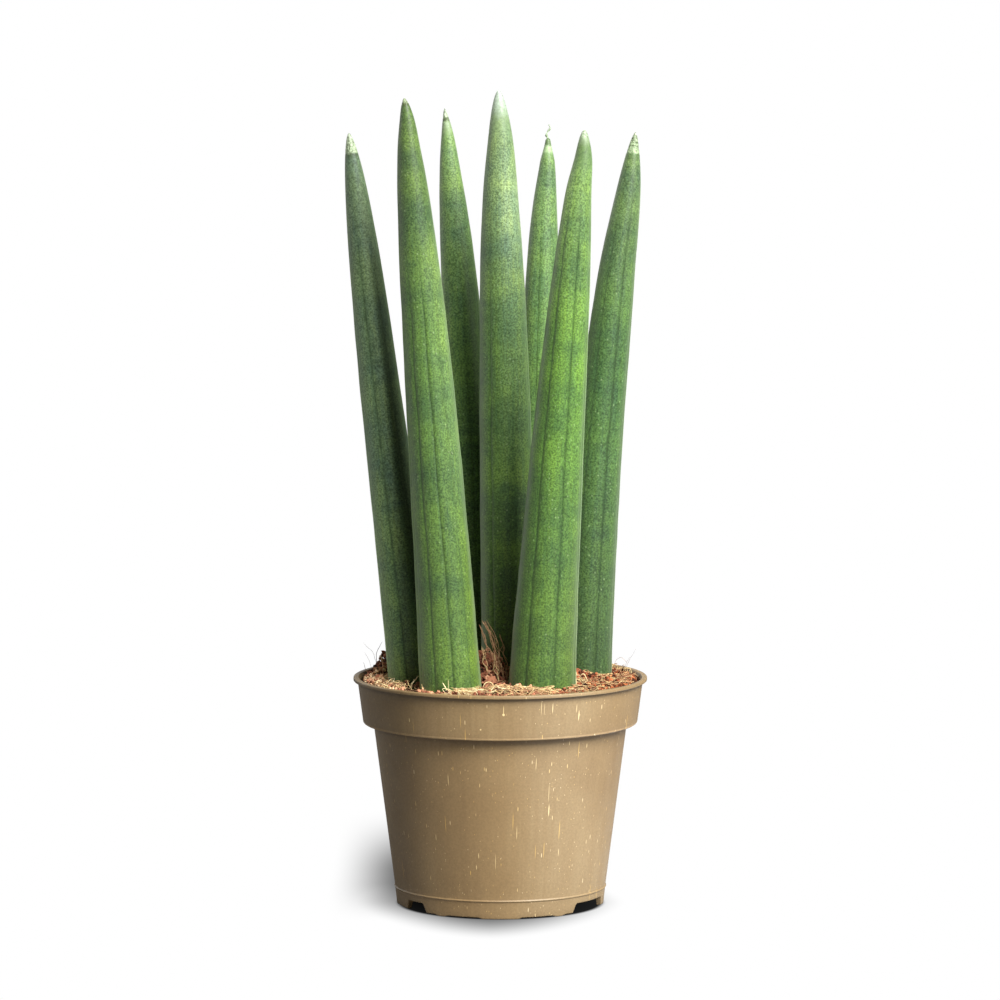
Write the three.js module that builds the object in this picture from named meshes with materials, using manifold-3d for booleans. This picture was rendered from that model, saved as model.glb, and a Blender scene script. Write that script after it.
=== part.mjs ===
/*
 * Potted snake plant: seven round spear leaves stand in a nursery pot filled with coir crumbs.
 *
 * Units are millimetres and +Z is up. The origin is the middle of the pot's base, on the surface
 * that it stands on. The front of the plant faces -Y, and +X is to the right of that view.
 * Angles round the pot and round a leaf are in degrees from the front, positive towards +X.
 *
 * Needs: npm install three manifold-3d
 */
import * as THREE from 'three';
import { mergeVertices } from 'three/addons/utils/BufferGeometryUtils.js';
import Module from 'manifold-3d';

const wasm = await Module();
wasm.setup();

// ---------------------------------------------------------------- driving dimensions

const CLEARANCE = 0.3; // between two pieces that touch

// Pot, from the foot up. Radii are to the outside unless their name says inner.
const POT_HEIGHT = 93.5;
const POT_SEGMENTS = 64;
const WALL = 1.2;
const FOOT_RADIUS = 42.3;
const FOOT_WALL = 1.8;
const FLOOR_HEIGHT = 5; // underside of the raised floor
const FLOOR_THICKNESS = 1.4;
const BEAD_HEIGHT = 7.4; // a fine raised line above the foot
const BEAD_RISE = 0.4;
const BEAD_WIDTH = 0.8;
const BODY_BOTTOM_RADIUS = 43.1;
const BODY_TOP_RADIUS = 51.9;
const COLLAR_HEIGHT = 75.3; // underside of the collar, where it steps out from the body
const COLLAR_BOTTOM_RADIUS = 56.1;
const COLLAR_TOP_RADIUS = 58.3;
const COLLAR_DROP = 0.6; // the collar's rounded lower edge hangs this far below its underside
const COLLAR_ROUND = 1.2;
const LEDGE_THICKNESS = 0.9; // of the step between the body and the collar
const LIP_RADIUS = 60;
const LIP_THICKNESS = 1.4;
const LIP_ROUND = 0.4;

// Foot ring: deep notches let water out, and low pads carry the weight between shallow gaps.
const NOTCHES = [[-62, -46], [45, 75], [166, 194]];
const NOTCH_HEIGHT = 4.4;
const PAD_HEIGHT = 1;
const PAD_GAPS = [[11, 31.5], [37.5, 82.5], [88.5, 109]]; // in one third of the ring
const RING_THIRDS = 3;
const CUT_MARGIN = 1; // a foot cutter passes the ring's faces by this much

const DRAIN_HOLES = 6;
const DRAIN_RADIUS = 4;
const DRAIN_CIRCLE = 26;
const DRAIN_SIDES = 16;

// Growing medium: a level bed with mounds, roughened by crumbs.
const SOIL_HEIGHT = 92;
const SOIL_RINGS = 19;
const CRUMB_RELIEF = 0.8;
const CRUMB_SEED = 7;
const SHOULDER = 9; // the mounds die away over this width next to the pot's wall
const MOUNDS = [
  { x: -6, y: -3, height: 11, spread: 8 }, // between the middle leaves, where the roots show
  { x: -46, y: 12, height: 9, spread: 8 },
  { x: 24, y: 38, height: 4, spread: 13 },
  { x: 30, y: 3, height: 2.5, spread: 6 },
  { x: 2, y: -44, height: 2, spread: 8 },
];

// Leaves. base is where the middle line leaves the bed, tip its top end, and bow the sideways
// swing of its middle. diameter is measured at the bed. straight, curve and blunt set the taper,
// as leafRadius says. grooves run the length of the leaf: turn is the angle of one of them at the
// bed, and twist is how far it has turned at the tip.
const LEAVES = [
  { base: [-34.7, -9], tip: [-61.1, -12, 316.1], bow: 0.3, diameter: 21.5,
    straight: 0.4, curve: 5.3, blunt: 0.56, grooves: 7, turn: -14, twist: -6 },
  { base: [-20, -31.5], tip: [-38.4, -39, 331.5], bow: 1.1, diameter: 25.2,
    straight: 0.39, curve: 4.7, blunt: 0.55, grooves: 10, turn: 7, twist: -11 },
  { base: [-8.9, 31], tip: [-23.2, 38, 323.7], bow: 2.3, diameter: 21.8,
    straight: 0.31, curve: 4.5, blunt: 0.71, grooves: 7, turn: 3, twist: 4 },
  { base: [4.4, 9], tip: [-0.8, 5, 332.6], bow: -0.1, diameter: 24.3,
    straight: 0.26, curve: 4.6, blunt: 0.56, grooves: 7, turn: -35, twist: 2 },
  { base: [16.9, 32], tip: [19.7, 39, 317.1], bow: -1.9, diameter: 20.3,
    straight: 0.28, curve: 5, blunt: 0.78, grooves: 7, turn: -15, twist: 3 },
  { base: [16.8, -23], tip: [33.6, -31, 318.3], bow: -1, diameter: 27.6,
    straight: 0.5, curve: 4.5, blunt: 0.48, grooves: 7, turn: -31, twist: -8 },
  { base: [34.9, 17], tip: [55, 22, 314.7], bow: -3, diameter: 22.3,
    straight: 0.27, curve: 4.9, blunt: 0.66, grooves: 7, turn: 21, twist: 2 },
];
const LEAF_SINK = 22; // how far a leaf stands in the bed
const LEAF_SIDES = 28; // about this many corners round, a whole number for each groove
const GROOVE_DEPTH = 0.06; // share of the leaf's radius
const RING_SHARES = [0.07, 0.2, 0.34, 0.47, 0.59, 0.7, 0.79, 0.86, 0.915, 0.955, 0.98, 0.993];
const HOLE_SIDES = 24;
const HOLE_RISE = 25; // a hole's cutter stands this far above the bed, clear of every mound

const LOOKS = {
  pot: { color: 0x8c7450, roughness: 0.5, metalness: 0 },
  medium: { color: 0x9a5a38, roughness: 0.95, metalness: 0 },
  leaf: { color: 0x4f7a3c, roughness: 0.45, metalness: 0 },
};

// ---------------------------------------------------------------- helpers

const radians = THREE.MathUtils.degToRad;

/** A closed geometry as a solid that can be joined and cut. */
function solidOf(geometry) {
  const bare = geometry.clone();
  bare.deleteAttribute('normal');
  bare.deleteAttribute('uv');
  const merged = mergeVertices(bare, 1e-4);
  const corners = merged.index.array;
  const triVerts = [];
  for (let i = 0; i < corners.length; i += 3) {
    const [a, b, c] = corners.slice(i, i + 3);
    if (a !== b && b !== c && c !== a) triVerts.push(a, b, c);
  }
  return new wasm.Manifold(new wasm.Mesh({
    numProp: 3,
    vertProperties: new Float32Array(merged.attributes.position.array),
    triVerts: new Uint32Array(triVerts),
  }));
}

/** A geometry from a list of [x, y, z] corners and a list of corner triples. */
function geometryOf(points, triangles) {
  const geometry = new THREE.BufferGeometry();
  geometry.setAttribute('position', new THREE.Float32BufferAttribute(points.flat(), 3));
  geometry.setIndex(triangles.flat());
  geometry.computeVertexNormals();
  return geometry;
}

/** A solid back as a geometry. */
function geometryFrom(solid) {
  const { vertProperties, triVerts, numProp } = solid.getMesh();
  const geometry = new THREE.BufferGeometry();
  const positions = [];
  for (let i = 0; i < vertProperties.length; i += numProp) {
    positions.push(...vertProperties.slice(i, i + 3));
  }
  geometry.setAttribute('position', new THREE.Float32BufferAttribute(positions, 3));
  geometry.setIndex([...triVerts]);
  geometry.computeVertexNormals();
  return geometry;
}

/** A repeatable random number from 0 to 1 at each call. */
function seededRandom(seed) {
  let state = seed;
  return () => {
    state = (state + 0x6d2b79f5) | 0;
    let mixed = Math.imul(state ^ (state >>> 15), 1 | state);
    mixed = (mixed + Math.imul(mixed ^ (mixed >>> 7), 61 | mixed)) ^ mixed;
    return ((mixed ^ (mixed >>> 14)) >>> 0) / 4294967296;
  };
}

// ---------------------------------------------------------------- pot

const FLOOR_TOP = FLOOR_HEIGHT + FLOOR_THICKNESS;
const LEDGE_HEIGHT = COLLAR_HEIGHT + LEDGE_THICKNESS; // the step inside the pot
const LEDGE_RADIUS = BODY_TOP_RADIUS - WALL;
const INNER_FLOOR_RADIUS = BODY_BOTTOM_RADIUS - WALL;
const INNER_COLLAR_BOTTOM = COLLAR_BOTTOM_RADIUS - WALL;
const INNER_COLLAR_TOP = COLLAR_TOP_RADIUS - WALL;
const LIP_UNDERSIDE = POT_HEIGHT - LIP_THICKNESS;

/** The pot's wall and floor as one turned profile, from the floor's underside round to its top. */
function potProfile() {
  return [
    [0, FLOOR_HEIGHT],
    [FOOT_RADIUS - FOOT_WALL, FLOOR_HEIGHT],
    [FOOT_RADIUS - FOOT_WALL, 0],
    [FOOT_RADIUS, 0],
    [BODY_BOTTOM_RADIUS, BEAD_HEIGHT - BEAD_WIDTH / 2],
    [BODY_BOTTOM_RADIUS + BEAD_RISE, BEAD_HEIGHT],
    [BODY_BOTTOM_RADIUS, BEAD_HEIGHT + BEAD_WIDTH / 2],
    [BODY_TOP_RADIUS, COLLAR_HEIGHT],
    [COLLAR_BOTTOM_RADIUS - COLLAR_ROUND, COLLAR_HEIGHT - COLLAR_DROP],
    [COLLAR_BOTTOM_RADIUS - COLLAR_ROUND / 4, COLLAR_HEIGHT - COLLAR_DROP / 2],
    [COLLAR_BOTTOM_RADIUS, COLLAR_HEIGHT + COLLAR_ROUND / 2],
    [COLLAR_TOP_RADIUS, LIP_UNDERSIDE],
    [LIP_RADIUS - LIP_ROUND, LIP_UNDERSIDE],
    [LIP_RADIUS, LIP_UNDERSIDE + LIP_ROUND],
    [LIP_RADIUS, POT_HEIGHT - LIP_ROUND],
    [LIP_RADIUS - LIP_ROUND, POT_HEIGHT],
    [INNER_COLLAR_TOP + 2 * LIP_ROUND, POT_HEIGHT],
    [INNER_COLLAR_TOP, LIP_UNDERSIDE],
    [INNER_COLLAR_BOTTOM, LEDGE_HEIGHT],
    [LEDGE_RADIUS, LEDGE_HEIGHT],
    [INNER_FLOOR_RADIUS, FLOOR_TOP],
    [0, FLOOR_TOP],
  ].map(([r, z]) => new THREE.Vector2(r, z));
}

/** A cutter for the foot ring: a block between two angles, from below the ring up to a height. */
function footCutter([from, to], height) {
  const start = radians(from - 90);
  const end = radians(to - 90);
  const shape = new THREE.Shape();
  shape.absarc(0, 0, FOOT_RADIUS + CUT_MARGIN, start, end, false);
  shape.absarc(0, 0, FOOT_RADIUS - FOOT_WALL - CUT_MARGIN, end, start, true);
  const block = new THREE.ExtrudeGeometry(shape, {
    depth: height + CUT_MARGIN,
    bevelEnabled: false,
    curveSegments: 6,
  });
  return solidOf(block.translate(0, 0, -CUT_MARGIN));
}

function drainHole(index) {
  const angle = (index * 2 * Math.PI) / DRAIN_HOLES;
  const length = 3 * FLOOR_THICKNESS;
  const hole = new THREE.CylinderGeometry(DRAIN_RADIUS, DRAIN_RADIUS, length, DRAIN_SIDES);
  hole.rotateX(Math.PI / 2);
  hole.translate(DRAIN_CIRCLE * Math.sin(angle), DRAIN_CIRCLE * Math.cos(angle), FLOOR_HEIGHT);
  return solidOf(hole);
}

function potSolid() {
  const turned = new THREE.LatheGeometry(potProfile(), POT_SEGMENTS).rotateX(Math.PI / 2);
  let pot = solidOf(turned);
  for (const notch of NOTCHES) {
    pot = pot.subtract(footCutter(notch, NOTCH_HEIGHT));
  }
  for (let third = 0; third < RING_THIRDS; third++) {
    const shift = (third * 360) / RING_THIRDS;
    for (const [from, to] of PAD_GAPS) {
      pot = pot.subtract(footCutter([from + shift, to + shift], PAD_HEIGHT));
    }
  }
  for (let index = 0; index < DRAIN_HOLES; index++) {
    pot = pot.subtract(drainHole(index));
  }
  return pot;
}

// ---------------------------------------------------------------- leaves

/**
 * The leaf's radius at a share of its height above the bed: 0 at the bed, 1 at the tip.
 * It mixes a straight taper with a blunt bullet nose.
 */
function leafRadius(leaf, share) {
  const fromTip = Math.min(1 - share, 1);
  const nose = (1 - (1 - fromTip) ** leaf.curve) ** leaf.blunt;
  return (leaf.diameter / 2) * (leaf.straight * fromTip + (1 - leaf.straight) * nose);
}

/** A point on the leaf's middle line. Below the bed the line runs on straight. */
function leafPoint(leaf, share) {
  const [baseX, baseY] = leaf.base;
  const [tipX, tipY, tipZ] = leaf.tip;
  const swing = 4 * leaf.bow * (share > 0 ? share * (1 - share) : share);
  return new THREE.Vector3(
    THREE.MathUtils.lerp(baseX, tipX, share) + swing,
    THREE.MathUtils.lerp(baseY, tipY, share),
    THREE.MathUtils.lerp(SOIL_HEIGHT, tipZ, share),
  );
}

/** The direction of the middle line at a share of the leaf's height. */
function leafDirection(leaf, share) {
  const step = 0.001;
  return leafPoint(leaf, share + step).sub(leafPoint(leaf, share - step)).normalize();
}

/** The share of the height at which the buried foot of the leaf ends, a negative number. */
const footShare = (leaf) => -LEAF_SINK / (leaf.tip[2] - SOIL_HEIGHT);

/** One ring of corners square to the middle line, drawn in where a groove runs. */
function leafRing(leaf, share, sides, perGroove) {
  const middle = leafPoint(leaf, share);
  const along = leafDirection(leaf, share);
  const right = new THREE.Vector3(1, 0, 0).addScaledVector(along, -along.x).normalize();
  const back = new THREE.Vector3().crossVectors(along, right);
  const radius = leafRadius(leaf, share);
  const turn = leaf.turn + leaf.twist * Math.max(share, 0);
  return Array.from({ length: sides }, (_, i) => {
    const angle = radians(turn) + (i * 2 * Math.PI) / sides;
    const reach = i % perGroove === 0 ? radius * (1 - GROOVE_DEPTH) : radius;
    return middle.clone()
      .addScaledVector(right, reach * Math.sin(angle))
      .addScaledVector(back, -reach * Math.cos(angle))
      .toArray();
  });
}

/** One leaf, closed by a flat foot and a point. */
function leafGeometry(leaf) {
  const perGroove = Math.round(LEAF_SIDES / leaf.grooves);
  const sides = perGroove * leaf.grooves;
  const shares = [footShare(leaf), ...RING_SHARES];
  const points = shares.flatMap((share) => leafRing(leaf, share, sides, perGroove));
  const foot = points.push(leafPoint(leaf, shares[0]).toArray()) - 1;
  const tip = points.push(leafPoint(leaf, 1).toArray()) - 1;
  const triangles = [];
  for (let i = 0; i < sides; i++) {
    const next = (i + 1) % sides;
    triangles.push([foot, next, i]);
    for (let ring = 0; ring < shares.length - 1; ring++) {
      const low = ring * sides;
      const high = low + sides;
      triangles.push([low + i, low + next, high + next], [low + i, high + next, high + i]);
    }
    const last = (shares.length - 1) * sides;
    triangles.push([last + i, last + next, tip]);
  }
  return geometryOf(points, triangles);
}

/** The round hole that a leaf stands in, as a cutter along the leaf's buried middle line. */
function leafHole(leaf) {
  const reach = (leaf.diameter / 2 + CLEARANCE) / Math.cos(Math.PI / HOLE_SIDES);
  const length = LEAF_SINK + CLEARANCE + HOLE_RISE;
  const along = leafDirection(leaf, footShare(leaf));
  const hole = new THREE.CylinderGeometry(reach, reach, length, HOLE_SIDES);
  hole.translate(0, length / 2 - CLEARANCE, 0);
  const upright = new THREE.Vector3(0, 1, 0);
  hole.applyQuaternion(new THREE.Quaternion().setFromUnitVectors(upright, along));
  hole.translate(...leafPoint(leaf, footShare(leaf)).toArray());
  return solidOf(hole);
}

// ---------------------------------------------------------------- growing medium

/** Radius and height of the bed's side, from its bottom edge up to its top edge. */
const BED_SIDE = [
  [INNER_FLOOR_RADIUS - CLEARANCE, FLOOR_TOP + CLEARANCE],
  [LEDGE_RADIUS - CLEARANCE, LEDGE_HEIGHT + CLEARANCE],
  [INNER_COLLAR_BOTTOM - CLEARANCE, LEDGE_HEIGHT + CLEARANCE],
];
const BED_RADIUS = INNER_COLLAR_TOP - 1.5 * CLEARANCE; // its top edge wavers with the crumbs

/** The bed's height before the crumbs: level, with mounds that die away at the wall. */
function bedHeight(x, y) {
  const inset = BED_RADIUS - Math.hypot(x, y);
  const fade = THREE.MathUtils.smoothstep(inset, 0, SHOULDER);
  let rise = 0;
  for (const mound of MOUNDS) {
    const off = Math.hypot(x - mound.x, y - mound.y) / mound.spread;
    rise += mound.height * Math.exp(-off * off / 2);
  }
  return SOIL_HEIGHT + rise * fade;
}

/**
 * The bed as one closed surface. Its top is a disc of rings with 6, 12, 18 ... corners, so that
 * all its crumbs are about as wide, and the last ring carries on down the side to the bottom.
 */
function bedGeometry() {
  const random = seededRandom(CRUMB_SEED);
  const points = [[0, 0, bedHeight(0, 0)]];
  const triangles = [];
  const start = (ring) => (ring === 0 ? 0 : 1 + 3 * ring * (ring - 1));
  const cornerOf = (ring, i) => start(ring) + (ring === 0 ? 0 : i % (6 * ring));
  for (let ring = 1; ring <= SOIL_RINGS; ring++) {
    const radius = (BED_RADIUS * ring) / SOIL_RINGS;
    for (let i = 0; i < 6 * ring; i++) {
      const angle = (i * Math.PI) / (3 * ring);
      const x = radius * Math.cos(angle);
      const y = radius * Math.sin(angle);
      const crumb = CRUMB_RELIEF * (2 * random() - 1);
      points.push([x, y, bedHeight(x, y) + crumb]);
    }
    for (let sixth = 0; sixth < 6; sixth++) {
      for (let j = 0; j < ring; j++) {
        const outer = sixth * ring + j;
        const inner = sixth * (ring - 1) + j;
        triangles.push([cornerOf(ring, outer), cornerOf(ring, outer + 1), cornerOf(ring - 1, inner)]);
        if (j < ring - 1) {
          triangles.push([
            cornerOf(ring, outer + 1), cornerOf(ring - 1, inner + 1), cornerOf(ring - 1, inner),
          ]);
        }
      }
    }
  }
  const edge = 6 * SOIL_RINGS;
  let above = start(SOIL_RINGS);
  for (const [radius, height] of [...BED_SIDE].reverse()) {
    const below = points.length;
    for (let i = 0; i < edge; i++) {
      const angle = (i * 2 * Math.PI) / edge;
      const next = (i + 1) % edge;
      points.push([radius * Math.cos(angle), radius * Math.sin(angle), height]);
      triangles.push([below + i, below + next, above + next], [below + i, above + next, above + i]);
    }
    above = below;
  }
  const bottom = points.push([0, 0, BED_SIDE[0][1]]) - 1;
  for (let i = 0; i < edge; i++) {
    triangles.push([bottom, above + ((i + 1) % edge), above + i]);
  }
  return geometryOf(points, triangles);
}

function mediumSolid() {
  let bed = solidOf(bedGeometry());
  for (const leaf of LEAVES) {
    bed = bed.subtract(leafHole(leaf));
  }
  return bed;
}

// ---------------------------------------------------------------- the plant

function namedMesh(name, geometry, look) {
  const mesh = new THREE.Mesh(geometry, new THREE.MeshStandardMaterial(look));
  mesh.name = name;
  return mesh;
}

const plant = new THREE.Group();
plant.name = 'potted_snake_plant';
plant.add(namedMesh('pot', geometryFrom(potSolid()), LOOKS.pot));
plant.add(namedMesh('growing_medium', geometryFrom(mediumSolid()), LOOKS.medium));
LEAVES.forEach((leaf, index) => {
  plant.add(namedMesh(`leaf_${index + 1}`, leafGeometry(leaf), LOOKS.leaf));
});

export default plant;
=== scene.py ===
# %% [markdown]
# # A potted snake plant with spear leaves
#
# Seven fluted spears stand in a moulded nursery pot that is filled with coir crumbs. The solid
# model of the same plant is loaded first as a fixed frame. Every piece made here is a finer
# stand-in for one of its solids, or something loose that lies on them, such as crumbs and roots.
# The plant's lengths are written in millimetres, as a maker would, and turned to metres at the end.
# The camera, the studio and the patterns of the finishes are in metres, as Blender has them.

# %% Load the frame
import math

import bpy
import numpy as np
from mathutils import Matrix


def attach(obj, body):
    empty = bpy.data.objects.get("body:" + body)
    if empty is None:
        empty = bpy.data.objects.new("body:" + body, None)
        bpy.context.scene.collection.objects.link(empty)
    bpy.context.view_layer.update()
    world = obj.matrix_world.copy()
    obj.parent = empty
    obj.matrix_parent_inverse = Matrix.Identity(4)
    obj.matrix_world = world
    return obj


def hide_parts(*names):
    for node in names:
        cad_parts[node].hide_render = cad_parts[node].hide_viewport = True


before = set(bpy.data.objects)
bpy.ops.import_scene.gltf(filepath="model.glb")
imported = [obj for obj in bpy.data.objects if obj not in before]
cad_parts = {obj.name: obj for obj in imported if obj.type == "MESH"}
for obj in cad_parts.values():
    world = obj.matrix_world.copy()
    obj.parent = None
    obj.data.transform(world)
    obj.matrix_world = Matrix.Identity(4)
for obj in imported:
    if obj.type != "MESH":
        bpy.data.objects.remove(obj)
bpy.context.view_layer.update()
MM = 0.001
print("solids:", sorted(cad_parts))

# %% [markdown]
# ## From numbers to a mesh
#
# Each surface below is worked out as whole arrays: one row of the array is a ring or a line of
# points, and the next row is the ring above it. Blender wants a flat list of points and of faces,
# so one helper makes the faces of such a grid, one closes a stack of rings at both ends, and one
# puts points and faces into a mesh. Writing arrays straight into the mesh is quick.


# %% Mesh helpers
def grid_faces(rows, columns):
    """Four-sided faces of a grid of points whose last column joins the first one. Rows go up and
    columns go against the clock as seen from above, so that faces look outwards."""
    row = np.arange(rows - 1)[:, None] * columns
    column = np.arange(columns)[None, :]
    beside = (column + 1) % columns
    corners = [row + column, row + beside, row + columns + beside, row + columns + column]
    return np.stack(corners, axis=-1).reshape(-1, 4)


def pole_faces(ring, pole, upward):
    """Three-sided faces from a ring of point numbers to one middle point above or below it."""
    beside = np.roll(ring, -1)
    middle = np.full_like(ring, pole)
    sides = (ring, beside, middle) if upward else (beside, ring, middle)
    return np.stack(sides, axis=-1)


def closed_tube(rings, low, high):
    """Points and faces of a stack of rings that is closed by a fan to one point at each end."""
    rows, columns = rings.shape[:2]
    ring, count = np.arange(columns), rows * columns
    faces = [
        grid_faces(rows, columns),
        pole_faces(ring, count, False),
        pole_faces(ring + count - columns, count + 1, True),
    ]
    return np.concatenate([rings.reshape(-1, 3), [low, high]]), faces


def new_mesh(name, points_mm, face_sets, values=None):
    """A mesh object from points in millimetres, from arrays of faces and from one value a point."""
    mesh = bpy.data.meshes.new(name)
    points = np.asarray(points_mm, dtype=np.float32).reshape(-1, 3) * MM
    sizes = np.concatenate([np.full(len(faces), faces.shape[1]) for faces in face_sets])
    corners = np.concatenate([faces.ravel() for faces in face_sets]).astype(np.int32)
    starts = np.concatenate([[0], np.cumsum(sizes)[:-1]]).astype(np.int32)
    mesh.vertices.add(len(points))
    mesh.vertices.foreach_set("co", points.ravel())
    mesh.loops.add(len(corners))
    mesh.loops.foreach_set("vertex_index", corners)
    mesh.polygons.add(len(sizes))
    mesh.polygons.foreach_set("loop_start", starts)
    mesh.update(calc_edges=True)
    mesh.polygons.foreach_set("use_smooth", np.ones(len(sizes), dtype=bool))
    for label, numbers in (values or {}).items():
        layer = mesh.attributes.new(label, "FLOAT", "POINT")
        layer.data.foreach_set("value", np.asarray(numbers, dtype=np.float32).ravel())
    mesh.validate()
    made = bpy.data.objects.new(name, mesh)
    bpy.context.scene.collection.objects.link(made)
    print(f"{name}: {len(points)} points, {len(sizes)} faces")
    return made


def settle(piece, finish, slot, *solids):
    """Gives a piece its finish, lets it ride on the plant and hides the solids it stands for."""
    piece.data.materials.clear()
    piece.data.materials.append(finish)
    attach(piece, "root")
    if solids:
        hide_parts(*solids)
    return piece


# %% [markdown]
# ## Gentle unevenness
#
# Nothing that grew or was moulded is perfectly even. A sum of plane waves that run in random
# directions gives a smooth, bounded waviness that can be read at any point of space. It is seeded,
# so that each run gives the same plant.


# %% Waves for unevenness
def waviness(points, length, seed, waves=14):
    """Between about -1 and 1. Adds cosines of the distance along random directions, each with a
    random phase, whose wavelengths lie round the given length, and divides by twice the spread
    that such a sum has."""
    draw = np.random.default_rng(seed)
    ways = draw.normal(size=(3, waves))
    ways /= np.linalg.norm(ways, axis=0)
    ways *= 2 * math.pi / (length * draw.uniform(0.7, 1.5, waves))
    phases = draw.uniform(0, 2 * math.pi, waves)
    return np.cos(points @ ways + phases).sum(axis=-1) / math.sqrt(2 * waves)


def ease(low, high, value):
    """0 below low, 1 above high, and an S-shaped rise between them."""
    share = np.clip((value - low) / (high - low), 0, 1)
    return share * share * (3 - 2 * share)


# %% [markdown]
# ## Mixing a finish
#
# A finish is a small tree of nodes: patterns feed a colour, a roughness and a bump, and one shader
# joins them. One tree at a time lies on the bench, and each helper adds a node to it in one line,
# so the recipes further down read like a list of what is laid over what. Every pattern is read
# from object coordinates or from a value stored on the points, so it stays put on the surface.


# %% Node helpers
def srgb(red, green, blue):
    """A colour as seen on a screen, 0 to 255, turned to the linear light that shaders work in."""
    screen = np.array([red, green, blue]) / 255
    light = np.where(screen <= 0.04045, screen / 12.92, ((screen + 0.055) / 1.055) ** 2.4)
    return (*light.tolist(), 1.0)


class Bench:
    """Holds the node tree that is being worked on."""
    tree = None


def start_on(tree):
    """Empties a node tree and puts it on the bench."""
    tree.nodes.clear()
    Bench.tree = tree


def new_finish(name):
    """An empty material whose tree is put on the bench."""
    finish = bpy.data.materials.new(name)
    finish.use_nodes = True
    start_on(finish.node_tree)
    return finish


def add(kind, inputs=None, **settings):
    """Adds a node. An input is given a value, or is linked where a socket is given."""
    node = Bench.tree.nodes.new(kind)
    for key, value in settings.items():
        setattr(node, key, value)
    for key, value in (inputs or {}).items():
        if isinstance(value, bpy.types.NodeSocket):
            Bench.tree.links.new(value, node.inputs[key])
        else:
            node.inputs[key].default_value = value
    return node


def sums(operation, first, second=0.0, third=0.0):
    """One step of arithmetic on values."""
    return add("ShaderNodeMath", {0: first, 1: second, 2: third}, operation=operation).outputs[0]


def times(first, *others):
    """The product of values."""
    for value in others:
        first = sums("MULTIPLY", first, value)
    return first


def scaled(value, factor, plus):
    """A value times a factor, plus another value."""
    return sums("MULTIPLY_ADD", value, factor, plus)


def spread(value, low, high, out_low=0.0, out_high=1.0):
    """Moves a value from one range to another with soft ends, and holds it at the ends."""
    inputs = {"Value": value, 1: low, 2: high, 3: out_low, 4: out_high}
    return add("ShaderNodeMapRange", inputs, interpolation_type="SMOOTHSTEP").outputs[0]


def band(value, rise, fall):
    """Goes up from 0 to 1 over one range of the value and back to 0 over another."""
    return times(spread(value, *rise), spread(value, *fall, 1.0, 0.0))


def axes(place):
    """The x, y and z of a place."""
    return add("ShaderNodeSeparateXYZ", {0: place}).outputs


def reach_of(place):
    """Distance from the origin."""
    return add("ShaderNodeVectorMath", {0: place}, operation="LENGTH").outputs["Value"]


def stretched(where, scale, move=(0, 0, 0)):
    """Coordinates times a scale for each axis, for patterns that are longer one way."""
    return add("ShaderNodeMapping", {"Vector": where, "Scale": scale, "Location": move}).outputs[0]


def cloud(where, scale, detail=2.0, rough=0.5, distortion=0.0):
    """Soft noise, 0 to 1, mostly near the middle."""
    inputs = {"Vector": where, "Scale": scale, "Detail": detail}
    inputs.update({"Roughness": rough, "Distortion": distortion})
    return add("ShaderNodeTexNoise", inputs).outputs["Fac"]


def cells(where):
    """A cell pattern: the distance to the middle of the cell, and two random numbers of it."""
    made = add("ShaderNodeTexVoronoi", {"Vector": where, "Scale": 1.0, "Randomness": 1.0}).outputs
    lot = add("ShaderNodeSeparateColor", {"Color": made["Color"]}).outputs
    return made["Distance"], lot[0], lot[1]


def paint_over(amount, under, over, blend="MIX"):
    """Lays one colour over another where amount is above 0."""
    inputs = {0: amount, 6: under, 7: over}
    return add("ShaderNodeMix", inputs, data_type="RGBA", blend_type=blend).outputs[2]


def tinted(colour, amount, at_one, at_zero=(1, 1, 1)):
    """Multiplies a colour by a tint that changes as amount goes from 0 to 1. A tint is how much
    of the red, green and blue is kept, 1 for all of it."""
    tint = paint_over(amount, (*at_zero, 1.0), (*at_one, 1.0))
    return paint_over(1.0, colour, tint, "MULTIPLY")


def stored(label):
    """A value that is stored on the points of the mesh."""
    return add("ShaderNodeAttribute", attribute_name=label, attribute_type="GEOMETRY").outputs["Fac"]


def coordinates():
    """Place in the object, in metres."""
    return add("ShaderNodeTexCoord").outputs["Object"]


def bump(height, distance, strength=1.0, under=None):
    """Turns a height pattern into a tilt of the surface. distance is its depth in metres."""
    inputs = {"Height": height, "Distance": distance, "Strength": strength}
    if under is not None:
        inputs["Normal"] = under
    return add("ShaderNodeBump", inputs).outputs[0]


def shader(colour, roughness, normal, **fixed):
    """Joins the patterns in one surface shader. Fixed numbers are set on its own sockets."""
    inputs = {"Base Color": colour, "Roughness": roughness, "Normal": normal}
    inputs.update({key.replace("_", " "): value for key, value in fixed.items()})
    surface = add("ShaderNodeBsdfPrincipled", inputs)
    add("ShaderNodeOutputMaterial", {"Surface": surface.outputs[0]})


def ramp(value, stops):
    """Reads a colour from a row of stops, each a place from 0 to 1 and a colour with its cover."""
    node = add("ShaderNodeValToRGB", {0: value})
    marks = node.color_ramp.elements
    for _ in range(len(stops) - 2):
        marks.new(0.5)
    for mark, (place, colour) in zip(marks, stops):
        mark.position, mark.color = place, colour
    return node.outputs[0], node.outputs[1]


# %% [markdown]
# ## The camera
#
# The picture was taken from a little above the pot's lip with a long lens: the lip, the collar and
# the foot show nearly the same narrow ellipse. A camera 2.7 m away that looks down 6.2 degrees
# gives those ellipses, and a long lens then fills the square frame.

# %% Camera
CAMERA_DISTANCE = 2.7
CAMERA_PITCH = math.radians(6.2)
CAMERA_LENS, SENSOR_WIDTH = 238.5, 36  # millimetres
CAMERA_SIGHT = 50  # metres, beyond which nothing is drawn
LOOK_AT = (-0.0001, 0.0, 0.1659)

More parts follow.
